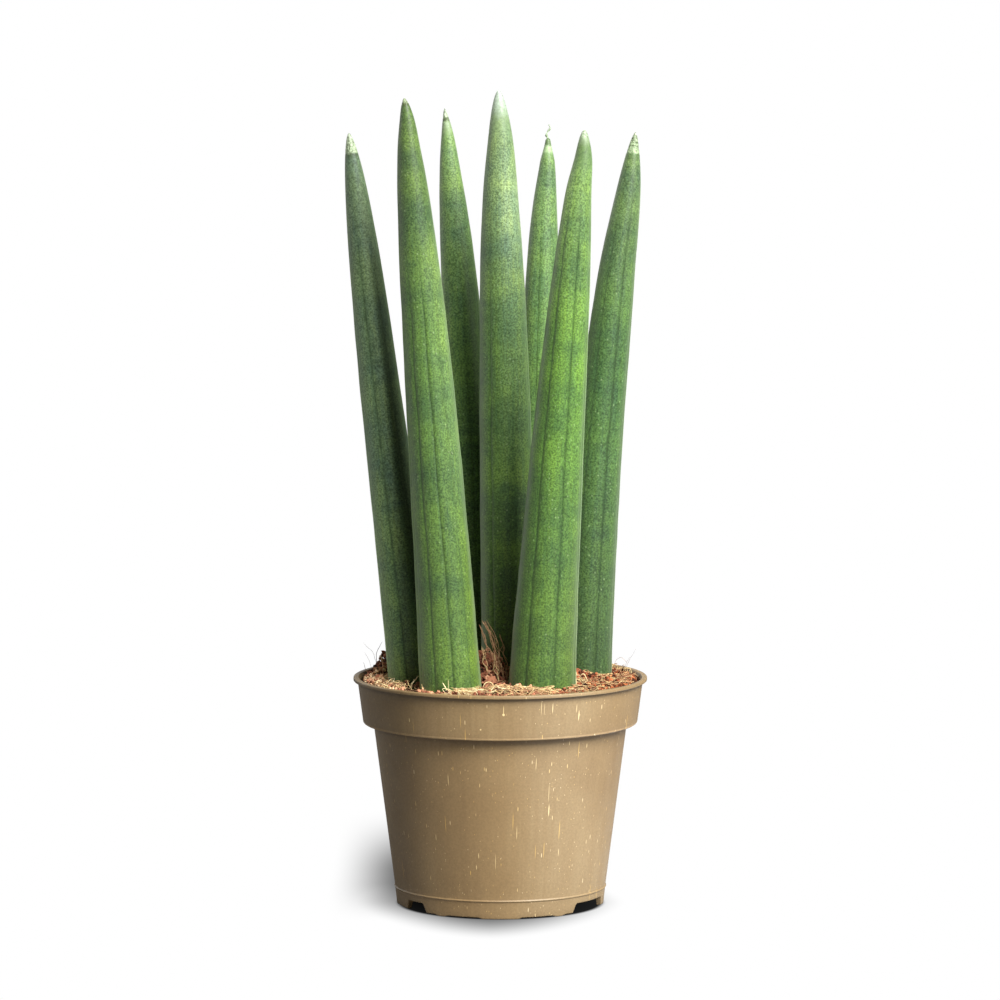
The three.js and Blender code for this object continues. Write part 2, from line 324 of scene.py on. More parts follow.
lens = bpy.data.cameras.new("camera")
lens.lens = CAMERA_LENS
lens.sensor_width = SENSOR_WIDTH
lens.clip_end = CAMERA_SIGHT
camera = bpy.data.objects.new("camera", lens)
camera.location = (
    LOOK_AT[0],
    LOOK_AT[1] - CAMERA_DISTANCE * math.cos(CAMERA_PITCH),
    LOOK_AT[2] + CAMERA_DISTANCE * math.sin(CAMERA_PITCH),
)
camera.rotation_euler = (math.pi / 2 - CAMERA_PITCH, 0, 0)
bpy.context.scene.collection.objects.link(camera)
bpy.context.scene.camera = camera
print("camera at", [round(v, 3) for v in camera.location])

# %% [markdown]
# ## A plain studio
#
# The plant stands on a white table before a white backdrop. One very broad soft box in front and to
# the right models the pot and leaves deep shade between the spears, where they hide it from each
# other. The lit backdrop behind draws the thin pale lines along the spears' edges. To the plant the
# front of the room and the table are dim, apart from a paler card on the table to its right, so the
# shaded sides stay deep. To the camera the air and the table are white, with a soft shade painted
# on the table round the foot and to its left.

# %% Studio values
LAMP_AROUND, LAMP_UP = 38, 40  # degrees round from the front towards +X, and up
LAMP_DISTANCE, LAMP_SIZE, LAMP_WATTS = 2.2, 1.4, 160
LAMP_AIM = (0, 0, 0.17)
ROOM_LIGHT = 0.08
BACKDROP_LIGHT = 1.35
BACKDROP_REACH = (0.5, 1.2)
FLOOR_TO_PLANT = 0.2
CARD_TO_PLANT = 0.4
CARD_EDGE = (0.03, 0.075)
CARD_REACH = (0.22, 0.4)
FLOOR_RADIUS, FLOOR_SIDES = 4.0, 96
# The soft shade painted on the table, in metres: an oval round the foot, a patch to the left of
# the pot that reaches back behind it, and a dark disc of painted shade right under the pot.
OVAL_MIDDLE = -0.004
OVAL_HALF = (0.0395, 0.064)
OVAL_POWER = 1.6
OVAL_FADE = (0.25, 1.75)
PATCH_LEFT = (-0.072, -0.039)
PATCH_RIGHT = (-0.02, 0.03)
PATCH_FRONT = (-0.048, 0.052)
PATCH_BACK = (0.075, 0.248)
SHADE_DEPTH = 0.85
UNDER_POT = (0.0405, 0.0435)
UNDER_TONE = 0.02

# %% Soft box
lamp = bpy.data.lights.new("soft_box", "AREA")
lamp.shape, lamp.size, lamp.energy = "SQUARE", LAMP_SIZE, LAMP_WATTS
turn, rise = math.radians(LAMP_AROUND), math.radians(LAMP_UP)
away = np.array([math.sin(turn) * math.cos(rise), -math.cos(turn) * math.cos(rise), math.sin(rise)])
soft_box = bpy.data.objects.new("soft_box", lamp)
soft_box.location = LAMP_AIM + away * LAMP_DISTANCE
soft_box.rotation_euler = (math.pi / 2 - rise, 0, turn)
soft_box.visible_camera = False
bpy.context.scene.collection.objects.link(soft_box)
print("soft box at", np.round(soft_box.location, 3))

# %% Air
air = bpy.data.worlds.new("white_air")
air.use_nodes = True
start_on(air.node_tree)
ray = add("ShaderNodeLightPath").outputs["Is Camera Ray"]
ways = axes(add("ShaderNodeTexCoord").outputs["Generated"])
glow = spread(sums("SUBTRACT", ways[1], ways[0]), *BACKDROP_REACH, ROOM_LIGHT, BACKDROP_LIGHT)
dim = add("ShaderNodeBackground", {"Color": (1, 1, 1, 1), "Strength": glow}).outputs[0]
white = add("ShaderNodeBackground", {"Color": (1, 1, 1, 1)}).outputs[0]
either = add("ShaderNodeMixShader", {0: ray, 1: dim, 2: white}).outputs[0]
add("ShaderNodeOutputWorld", {"Surface": either})
bpy.context.scene.world = air

view_settings = bpy.context.scene.view_settings
view_settings.view_transform = "Standard"
view_settings.look = "None"
view_settings.exposure = 0
view_settings.gamma = 1
print("air from", ROOM_LIGHT, "in front to", BACKDROP_LIGHT, "behind")

# %% Table
table_finish = new_finish("white_table")
ray = add("ShaderNodeLightPath").outputs["Is Camera Ray"]
from_pot = reach_of(coordinates())
right, back = axes(coordinates())[:2]
card = times(spread(right, *CARD_EDGE), spread(from_pot, *CARD_REACH, CARD_TO_PLANT, 0.0))
to_plant = sums("ADD", card, FLOOR_TO_PLANT)
across = sums("ABSOLUTE", scaled(right, 1 / OVAL_HALF[0], -OVAL_MIDDLE / OVAL_HALF[0]))
ahead = sums("ABSOLUTE", times(back, 1 / OVAL_HALF[1]))
oval = sums("ADD", sums("POWER", across, OVAL_POWER), sums("POWER", ahead, OVAL_POWER))
oval = spread(oval, *OVAL_FADE, 1 - SHADE_DEPTH, 1.0)
patch = times(band(right, PATCH_LEFT, PATCH_RIGHT), band(back, PATCH_FRONT, PATCH_BACK))
# Painted shade: the table turns nearly black right under the pot.
under = spread(from_pot, *UNDER_POT, UNDER_TONE, 1.0)
shade = times(oval, scaled(patch, -SHADE_DEPTH, 1.0), under)
grey = add("ShaderNodeCombineColor", {0: to_plant, 1: to_plant, 2: to_plant}).outputs[0]
matt = add("ShaderNodeBsdfDiffuse", {"Color": grey}).outputs[0]
glow = add("ShaderNodeEmission", {"Color": (1, 1, 1, 1), "Strength": shade}).outputs[0]
table_light = add("ShaderNodeMixShader", {0: ray, 1: matt, 2: glow}).outputs[0]
add("ShaderNodeOutputMaterial", {"Surface": table_light})

turns = np.linspace(0, 2 * math.pi, FLOOR_SIDES, endpoint=False)
rim_mm = FLOOR_RADIUS / MM * np.stack([np.cos(turns), np.sin(turns), turns * 0], axis=-1)
table_fan = pole_faces(np.arange(FLOOR_SIDES), FLOOR_SIDES, True)
table_top = new_mesh("table_top", np.concatenate([rim_mm, [[0, 0, 0]]]), [table_fan])
table_top.data.materials.append(table_finish)

# %% [markdown]
# ## The pot
#
# A nursery pot is blown or pressed from a thin sheet of plastic and is round but for its foot. Its
# outline is a lathe profile: foot, bead, tapered wall, a step out to the collar, the lip, and the
# same way back down inside. Spinning that profile gives the whole pot in one closed surface. The
# foot ring is lower at its pads and cut away in wide notches, so each point of the foot is lifted
# to the height of the cut at its own angle.

# %% Pot profile
POT_OUTLINE = [
    # distance from the axis, height, rounding of the corner
    (40.5, 5.0, 0.5), (40.5, 0.0, 0.35), (42.3, 0.0, 0.6), (43.05, 6.9, 0.3),
    (43.5, 7.4, 0.28), (43.15, 7.95, 0.3), (51.9, 75.3, 0.5), (54.9, 74.7, 0.25),
    (56.0, 74.75, 0.95), (58.3, 92.1, 0.35), (60.0, 92.1, 0.35), (60.0, 93.5, 0.45),
    (57.9, 93.5, 0.5), (57.1, 92.1, 0.3), (54.9, 76.2, 0.4), (50.7, 76.2, 0.5),
    (41.9, 6.4, 1.0),
]
FLOOR_UNDERSIDE = 5.0
FLOOR_TOP = 6.4
BEAD_FOOT = 6.9
FOOT_MIDDLE = 41.4  # between the inner and the outer face of the foot ring
FOOT_LEAN = 0.75  # how far the outer face leans out from the floor to the bead


def rounded_outline(outline, start, end, arc_steps=5, longest=3.0):
    """The outline with each corner replaced by a parabola that touches both of its sides, and its
    straight stretches split so that none is longer than the given length."""
    corners = np.array([start] + [(r, z) for r, z, _ in outline] + [end], dtype=float)
    points = [corners[0]]
    for index, (_, _, radius) in enumerate(outline, start=1):
        before = corners[index - 1] - corners[index]
        after = corners[index + 1] - corners[index]
        before /= np.linalg.norm(before)
        after /= np.linalg.norm(after)
        half = math.acos(np.clip(before @ after, -1, 1)) / 2
        cut = radius / math.tan(half)
        share = np.linspace(0, 1, arc_steps)[:, None]
        one, two = corners[index] + before * cut, corners[index] + after * cut
        arc = (1 - share) ** 2 * one + 2 * share * (1 - share) * corners[index] + share ** 2 * two
        points.extend(arc)
    points.append(corners[-1])
    lines = []
    for here, there in zip(points[:-1], points[1:]):
        parts = max(1, math.ceil(np.linalg.norm(there - here) / longest))
        lines.append(here + (there - here) * np.arange(parts)[:, None] / parts)
    lines.append(points[-1][None, :])
    return np.concatenate(lines)


pot_profile = rounded_outline(POT_OUTLINE, (0.0, FLOOR_UNDERSIDE), (0.0, FLOOR_TOP))
print("pot profile points:", len(pot_profile))

# %% [markdown]
# ## Notches, pads and drain holes
#
# Water leaves through six holes in the floor and runs out under the foot ring through the notches.
# The ring stands on nine low pads. The notches' sides are steep, so the angles of the lathe's
# columns get extra lines close beside each edge, where the height of the cut changes.

# %% Pot body
NOTCHES = [(-62, -46), (45, 75), (166, 194)]
NOTCH_HEIGHT = 4.4
PAD_HEIGHT = 0.6
PAD_GAPS = [(11, 31.5), (37.5, 82.5), (88.5, 109)]
EDGE_WIDTH = 3.6
JUST_UNDER = 0.01  # keeps the points at a limit itself where they are
DRAIN_HOLES = 6
DRAIN_RADIUS = 4.0
DRAIN_CIRCLE = 26.0
BIT_SIDES, BIT_HEIGHTS = 40, (3.5, 8.0)
POT_COLUMNS = 360
SHARP_DEGREES = 38

gap_list = [(a + 120 * k, b + 120 * k) for k in range(3) for a, b in PAD_GAPS]
cut_edges = np.array([edge for pair in NOTCHES + gap_list for edge in pair], dtype=float)
beside_edges = (cut_edges[:, None] + EDGE_WIDTH * np.array([-0.5, -0.25, 0, 0.25, 0.5])).ravel()
pot_angles = np.concatenate([np.arange(POT_COLUMNS) * 360 / POT_COLUMNS, beside_edges % 360])
pot_angles = np.unique(np.round(pot_angles, 3))


def foot_cut(angle):
    """Height of the foot's lower edge at an angle in degrees from the front: the highest of the
    cuts there, each one a plateau with an S-shaped rise at both of its ends."""
    height = np.zeros_like(angle)
    for (low, high), top in [(n, NOTCH_HEIGHT) for n in NOTCHES] + [(g, PAD_HEIGHT) for g in gap_list]:
        middle, half = (low + high) / 2, (high - low) / 2
        off = np.abs((angle - middle + 180) % 360 - 180)
        height = np.maximum(height, top * (1 - ease(-EDGE_WIDTH / 2, EDGE_WIDTH / 2, off - half)))
    return height


def pot_surface():
    """Profile times angle. x is distance times sine, y is minus distance times cosine. A point of
    the foot below its limit keeps its share of the way up from the cut's height to that limit, and
    the leaning outer face moves out in step with how far it was lifted."""
    distance, height = pot_profile[:, 0][:, None], pot_profile[:, 1][:, None]
    cut = foot_cut(pot_angles)[None, :]
    outer = distance > FOOT_MIDDLE
    limit = np.where(outer, BEAD_FOOT, FLOOR_UNDERSIDE)
    foot = height < limit - JUST_UNDER
    lifted = np.where(foot, cut + height * (limit - cut) / limit, height + 0 * cut)
    lean = np.where(foot & outer, FOOT_LEAN * (lifted - height) / BEAD_FOOT, 0)
    turn = np.radians(pot_angles)[None, :]
    reach = distance + lean
    return np.stack([reach * np.sin(turn), -reach * np.cos(turn), lifted], axis=-1)


pot_grid = pot_surface()
pot = new_mesh("nursery_pot", *closed_tube(pot_grid[1:-1], pot_grid[0, 0], pot_grid[-1, 0]))


def drill(piece, cutters):
    """Cuts one closed mesh out of another with Blender's exact Boolean and keeps the result."""
    modifier = piece.modifiers.new("drill", "BOOLEAN")
    modifier.operation = "DIFFERENCE"
    modifier.solver = "EXACT"
    modifier.object = cutters
    bpy.context.view_layer.update()
    graph = bpy.context.evaluated_depsgraph_get()
    drilled = bpy.data.meshes.new_from_object(piece.evaluated_get(graph))
    piece.modifiers.clear()
    piece.data = drilled
    bpy.data.objects.remove(cutters)


bit_turns = np.linspace(0, 2 * math.pi, BIT_SIDES, endpoint=False)
bit_ring = np.stack([np.cos(bit_turns), np.sin(bit_turns)], axis=-1) * DRAIN_RADIUS
bit_points, bit_faces = [], []
for turn in np.radians(np.arange(DRAIN_HOLES) * 360 / DRAIN_HOLES):
    ring = bit_ring + DRAIN_CIRCLE * np.array([math.sin(turn), math.cos(turn)])
    rings = np.stack([np.column_stack([ring, np.full(BIT_SIDES, level)]) for level in BIT_HEIGHTS])
    points, faces = closed_tube(rings, *rings.mean(axis=1))
    bit_faces.extend(face + len(points) * len(bit_points) for face in faces)
    bit_points.append(points)
drill(pot, new_mesh("drain_bits", np.concatenate(bit_points), bit_faces))
pot.data.polygons.foreach_set("use_smooth", np.ones(len(pot.data.polygons), dtype=bool))
pot.data.set_sharp_from_angle(angle=math.radians(SHARP_DEGREES))
print("pot faces after drilling:", len(pot.data.polygons))

# %% [markdown]
# ## The pot's plastic
#
# The pot is pressed from ground-up recycled plastic. Its taupe is a little cloudy, finely grained,
# and full of cream and straw-yellow flecks that were drawn out upwards when the sheet was formed.
# Flecks are the cells of a three-dimensional cell pattern that is drawn out upwards. One random
# number of each cell decides whether it holds a fleck at all, and another one its colour.

# %% Plastic finish
TAUPE = srgb(129, 105, 70)
TAUPE_DEEP = srgb(119, 95, 62)
TAUPE_PALE = srgb(138, 115, 79)
FLECK_CREAM = srgb(238, 214, 168)
FLECK_STRAW = srgb(214, 172, 92)
FLECK_DRAWN = srgb(228, 200, 144)
WALL_TAPER = 0.13
WALL_FOOT = 42.1
TUBE_RADIUS = 0.05  # metres
FLECK_REACH = 5.0  # how far a placed fleck reaches into and out of the wall
# Kinds of fleck: cells per metre, height over width, radius, share of the cells that hold one,
# shift of the pattern, and how strong.
STREAKS = (420, 20.0, 0.1, 0.75, 29.0, 0.5)
FLECK_KINDS = [(900, 1.8, 0.18, 0.36, 3.0, 0.42), (560, 5.0, 0.13, 0.5, 11.0, 0.6)]
# Painted highlight: the side towards the lamp is paler and cooler; painted shade: the far side is
# deeper. Over which x, in metres, each tint sets in, and where the painted highlight falls off again.
PAINTED_HIGHLIGHT_TINT, PAINTED_HIGHLIGHT_FROM, PAINTED_HIGHLIGHT_TO = (1.12, 1.20, 1.38), (0.0, 0.024), (0.030, 0.048)
PAINTED_SHADE_TINT, PAINTED_SHADE_FROM = (0.66, 0.65, 0.56), (-0.026, -0.044)
# Painted highlight on the collar's lower edge: heights in metres over which it begins and ends.
EDGE_HIGHLIGHT_TINT, EDGE_HIGHLIGHT_FROM, EDGE_HIGHLIGHT_TO = (1.6, 1.6, 1.7), (0.07465, 0.0750), (0.0754, 0.0760)
# Painted shade in the corners under the lip and under the collar: between heights.
CORNER_SHADE_TINT, CORNERS = (0.55, 0.53, 0.5), [(89.8, 92.1), (71.8, 74.75)]
CORNER_OVER = 0.05  # how far above each corner the tint ends


def round_the_wall(where):
    """Coordinates in which the tapered wall is an upright tube of TUBE_RADIUS, so that a
    streak runs up the wall and does not leave it. The wall's distance is WALL_FOOT at the floor
    and grows by WALL_TAPER for each millimetre of height."""
    x, y, z = axes(where)
    scale = sums("DIVIDE", TUBE_RADIUS, scaled(z, WALL_TAPER, WALL_FOOT * MM))
    return add("ShaderNodeCombineXYZ", {0: times(x, scale), 1: times(y, scale), 2: z}).outputs[0]


def flecks(where, per_metre, tall, radius, share, shift):
    """1 inside a fleck and 0 outside, and a random number for its colour. where is squeezed by
    tall in height; a cell holds a fleck when its random number is under share."""
    drawn = stretched(where, (per_metre, per_metre, per_metre / tall), (shift, shift, shift))
    distance, lot, tone = cells(drawn)
    spot = spread(distance, radius * 0.55, radius, 1.0, 0.0)
    return times(spot, sums("LESS_THAN", lot, share)), tone


def placed_fleck(where, angle, height, half_wide, half_tall, reach):
    """One fleck at an angle, in degrees from the front, and a height on the pot's outside."""
    turn = math.radians(angle)
    spot = np.array([reach * math.sin(turn), -reach * math.cos(turn), height]) * MM
    halves = np.array([half_wide, FLECK_REACH, half_tall]) * MM
    inputs = {"Vector": where, "Location": spot, "Rotation": (0, 0, turn), "Scale": halves}
    near = add("ShaderNodeMapping", inputs, vector_type="TEXTURE").outputs[0]
    return spread(reach_of(near), 0.5, 1.0, 1.0, 0.0)


PLACED_FLECKS = [
    # angle, height, half width, half height, distance from the axis, how bright
    (1.3, 85.6, 0.62, 0.62, 57.2, 0.9), (1.3, 87.2, 0.22, 2.6, 57.4, 0.6),
    (16.6, 88.2, 0.17, 3.8, 57.7, 0.45), (17.9, 87.6, 0.15, 3.2, 57.7, 0.35),
    (21.4, 87.8, 0.2, 2.6, 57.6, 0.65), (33.5, 84.0, 0.23, 2.6, 57.1, 0.85),
    (32.2, 87.0, 0.18, 2.2, 57.4, 0.5), (-25, 57.5, 0.2, 3.0, 49.6, 0.6),
    (24.1, 44.8, 0.24, 3.0, 48.0, 0.85), (23.6, 52.0, 0.18, 4.6, 48.8, 0.4),
    (26.2, 41.6, 0.2, 1.2, 47.6, 0.6), (-8.0, 79.4, 0.4, 0.4, 56.3, 0.8),
    (16.6, 64.4, 0.18, 3.2, 50.6, 0.55), (-6.5, 62.2, 0.22, 1.0, 50.2, 0.8),
    (-40, 81.5, 0.3, 1.0, 56.6, 0.7), (8.2, 36.0, 0.18, 3.4, 46.8, 0.5),
    (-2.4, 24.0, 0.16, 4.0, 45.4, 0.45), (-34, 33.0, 0.2, 1.6, 46.5, 0.55),
    (-11, 26.5, 0.2, 1.4, 45.7, 0.6), (31, 27.0, 0.18, 2.0, 45.8, 0.5),
]


def pot_finish():
    """Taupe, upright streaks, flecks of three sizes, fine grain and a satin gloss, with painted
    highlights on the lamp's side and the collar's lower edge, and painted shade on the far side
    and in the corners.
    """
    finish = new_finish("recycled_pot_plastic")
    where = coordinates()
    side, _, height = axes(where)
    wall = round_the_wall(where)
    broad = cloud(where, 24, 3, 0.5)
    streak = cloud(stretched(wall, (420, 420, 18)), 1.0, 3, 0.6)
    grain = cloud(where, 1100, 3, 0.65)
    colour = paint_over(spread(broad, 0.25, 0.75), TAUPE_DEEP, TAUPE_PALE)
    colour = paint_over(spread(streak, 0.3, 0.7, 0, 0.8), colour, TAUPE)
    colour = tinted(colour, spread(grain, 0.3, 0.7), (1.08, 1.08, 1.08), (0.92, 0.92, 0.91))
    *kind, strong = STREAKS
    colour = paint_over(times(flecks(wall, *kind)[0], strong), colour, FLECK_STRAW)
    for *kind, strong in FLECK_KINDS:
        spot, tone = flecks(wall, *kind)
        tone = paint_over(tone, FLECK_STRAW, FLECK_CREAM)
        colour = paint_over(times(spot, strong), colour, tone)
    for *place, bright in PLACED_FLECKS:
        colour = paint_over(times(placed_fleck(where, *place), bright), colour, FLECK_DRAWN)
    # Painted highlight along the collar's lower edge.
    colour = tinted(colour, band(height, EDGE_HIGHLIGHT_FROM, EDGE_HIGHLIGHT_TO), EDGE_HIGHLIGHT_TINT)
    # Painted highlight on the side towards the lamp, painted shade on the far side.
    painted_highlight = times(spread(side, *PAINTED_HIGHLIGHT_FROM), spread(side, *PAINTED_HIGHLIGHT_TO, 1.0, 0.3))
    colour = tinted(tinted(colour, painted_highlight, PAINTED_HIGHLIGHT_TINT), spread(side, *PAINTED_SHADE_FROM), PAINTED_SHADE_TINT)
    # Painted shade in the corners under the lip and the collar.
    for low, high in CORNERS:
        below = sums("LESS_THAN", height, (high + CORNER_OVER) * MM)
        corner = times(spread(height, low * MM, high * MM), below)
        colour = tinted(colour, corner, CORNER_SHADE_TINT)
    rough = spread(cloud(where, 120, 3), 0.3, 0.7, 0.50, 0.58)
    tilt = bump(cloud(where, 60, 3), 0.0005, 0.3)
    shader(colour, rough, bump(grain, 0.00006, 0.5, tilt), Specular_IOR_Level=0.5)
    return finish


settle(pot, pot_finish(), "pot_plastic", "pot")

# %% [markdown]
# ## The spears
#
# A spear leaf is a rolled leaf that has grown into a solid rod. It is nearly a cone: its radius
# falls evenly towards the tip, with a blunt nose on top of that. Its middle line is straight but
# for a slight bow. Round it run shallow grooves with softly swollen ribs between them, and a fine
# crease at the bottom of each groove. So one leaf is a function of two parameters, the share of
# its length and the angle round it. Columns crowd together at the creases and rows near the tip.

# %% Leaf values
BED_LEVEL = 92.0
SUNK = 22.0
# Each leaf's middle line at the bed (x, y) and at the tip (x, y, z), its sideways bow, its diameter
# at the bed, the share of the radius that falls evenly, the curve and bluntness of its nose, how
# many grooves it has, the angle of one of them at the bed, and how far that has turned at the tip.
LEAF_WORDS = "base tip bow diameter straight curve blunt grooves turn twist".split()
LEAF_ROWS = [
    ((-34.7, -9), (-61.1, -12, 316.1), 0.3, 21.5, 0.4, 5.3, 0.56, 7, -14, -6),
    ((-20, -31.5), (-38.4, -39, 331.5), 1.1, 25.2, 0.39, 4.7, 0.55, 10, 7, -11),
    ((-8.9, 31), (-23.2, 38, 323.7), 2.3, 21.8, 0.31, 4.5, 0.71, 7, 3, 4),
    ((4.4, 9), (-0.8, 5, 332.6), -0.1, 24.3, 0.26, 4.6, 0.56, 7, -35, 2),
    ((16.9, 32), (19.7, 39, 317.1), -1.9, 20.3, 0.28, 5.0, 0.78, 7, -15, 3),
    ((16.8, -23), (33.6, -31, 318.3), -1.0, 27.6, 0.5, 4.5, 0.48, 7, -31, -8),
    ((34.9, 17), (55, 22, 314.7), -3.0, 22.3, 0.27, 4.9, 0.66, 7, 21, 2),
]
LEAVES = {number: dict(zip(LEAF_WORDS, row)) for number, row in enumerate(LEAF_ROWS, start=1)}
RINGS_UP = 260
COLUMNS_PER_GROOVE = 16
RIB_DEPTH = 0.03
CREASE_DEPTH = 0.2
CREASE_WIDTH = 0.45

# How deep and dark each groove is, going round from the one at the leaf's turn, and how far
# below the tip the grooves begin and are full.
GROOVES = {
    1: ((0.9, 0.5, 0.4, 0.6, 0.6, 0.4, 0.45), (25, 70)),
    2: ((0.8, 0.45, 0.3, 0.5, 0.6, 0.6, 0.5, 0.3, 0.35, 0.8), (50, 105)),
    3: ((0.4, 0.3, 0.4, 0.6, 0.6, 0.4, 0.35), (35, 90)),
    4: ((0.8, 0.25, 0.3, 0.6, 0.6, 0.5, 0.3), (40, 110)),
    5: ((0.6, 0.3, 0.4, 0.6, 0.6, 0.4, 0.4), (20, 70)),
    6: ((0.9, 0.95, 0.4, 0.5, 0.7, 0.6, 0.4), (18, 48)),
    7: ((1.0, 0.4, 0.4, 0.6, 0.6, 0.5, 0.5), (14, 45)),
}

# A slight sideways bend of the nose: how far towards +X, at which distance below the tip, and
# over what length it fades.
NOSE_BENDS = {
    1: (0.15, 30, 30), 2: (0.35, 8, 8), 3: (0.45, 8, 12), 4: (0.5, 20, 16), 5: (0.4, 16, 12),
    6: (0.75, 11, 9), 7: (0.8, 24, 22),
}
# How far the crumbly dry skin reaches below the tip. The fifth spear has lost its nose: only a
# thin curled wisp of it is left above a narrow stump.
CRUMBLY = {1: 8.3, 2: 2.4, 3: 5.6, 4: 0, 5: 6.0, 6: 2.0, 7: 8.8}
WISP = dict(leaf=5, long=5.9, thick=0.62, sway=0.7)

# Cross zones of each leaf: height over the bed, half height, and how pale (+) or deep (-).
ZONES = {
    1: [(208, 7, 0.3), (192, 8, 0.35), (165, 9, 0.75), (146, 6, -0.25), (120, 8, 0.25),
        (92, 7, -0.3), (60, 9, 0.3), (34, 6, -0.3)],
    2: [(223, 5, 0.5), (213, 5, -0.6), (205, 5, 0.5), (193, 7, -0.8), (174, 6, 0.7),
        (160, 4, -0.4), (146, 8, 0.6), (118, 5, -0.5), (104, 6, 0.45), (88, 5, -0.5),
        (60, 6, 0.3), (45, 4, -0.4), (12, 10, 0.6)],
    3: [(201, 7, 0.5), (185, 9, -0.4), (166, 5, 0.2), (150, 10, -0.3), (120, 9, 0.3),
        (90, 8, -0.4), (50, 10, 0.3)],
    4: [(224, 6, 0.0), (206, 9, -0.15), (190, 6, -0.25), (174, 4.5, -0.9), (161, 6, 0.4),
        (148, 5, -0.4), (134, 7, 0.25), (106, 5, -0.6), (86, 6, 1.0), (71, 6, -0.8),
        (54, 5, 0.7), (40, 5, -0.6), (25, 6, 0.6)],
    5: [(211, 4, 0.1), (203, 4, -0.3), (190, 6, 0.2), (178, 5, -0.3), (169, 4, 0.3),
        (157, 5, -0.4), (130, 8, 0.3), (100, 8, -0.3), (60, 9, 0.3)],
    6: [(203, 9, 0.4), (186, 5, 0.2), (171, 5, -0.4), (154, 7, 0.9), (142.5, 3.5, -0.6),
        (131, 8, 0.8), (112, 6, -0.3), (98, 8, 0.5), (74, 8, -0.5), (55, 6, -0.3),
        (36, 7, 0.4), (12, 8, 0.3)],
    7: [(204, 4, -0.3), (193, 8, 0.6), (175, 6, -0.3), (154, 8, 0.4), (142, 5, -0.3),
        (121, 6, -0.35), (96, 8, 0.3), (63, 7, -0.3), (30, 9, 0.3)],
}

CROWDING = 1.5  # rings crowd towards the tip and columns towards the grooves by this power
WANDER, WANDER_LENGTH = 1.1, 30  # degrees by which the grooves wander, and over what length
# Waves on the skin: height and length, and the length is longer upwards for the short ones.
LONG_WAVES, SHORT_WAVES = (0.11, 26), (0.045, 5)
DRY_WAVES = (0.22, 1.5)
# Waves by which the edge of a cross zone wanders up and down: height and length.
ZONE_WAVES = (3.0, 19), (1.3, 6)


# %% Leaf form
def leaf_middle(leaf, share):
    """Straight line from the base on the bed to the tip, plus a sideways bow that is widest half
    way up. Below the bed, where share is negative, it carries on straight."""
    (base_x, base_y), (tip_x, tip_y, tip_z) = leaf["base"], leaf["tip"]
    sway = 4 * leaf["bow"] * np.where(share > 0, share * (1 - share), share)
    return np.stack([
        base_x + (tip_x - base_x) * share + sway,
        base_y + (tip_y - base_y) * share,
        BED_LEVEL + (tip_z - BED_LEVEL) * share,
    ], axis=-1)


def leaf_radius(leaf, share):
    """Part of the radius falls evenly to the tip, the rest stays full and rounds off as a nose."""
    from_tip = np.minimum(1 - share, 1)
    nose = (1 - (1 - from_tip) ** leaf["curve"]) ** leaf["blunt"]
    return leaf["diameter"] / 2 * (leaf["straight"] * from_tip + (1 - leaf["straight"]) * nose)


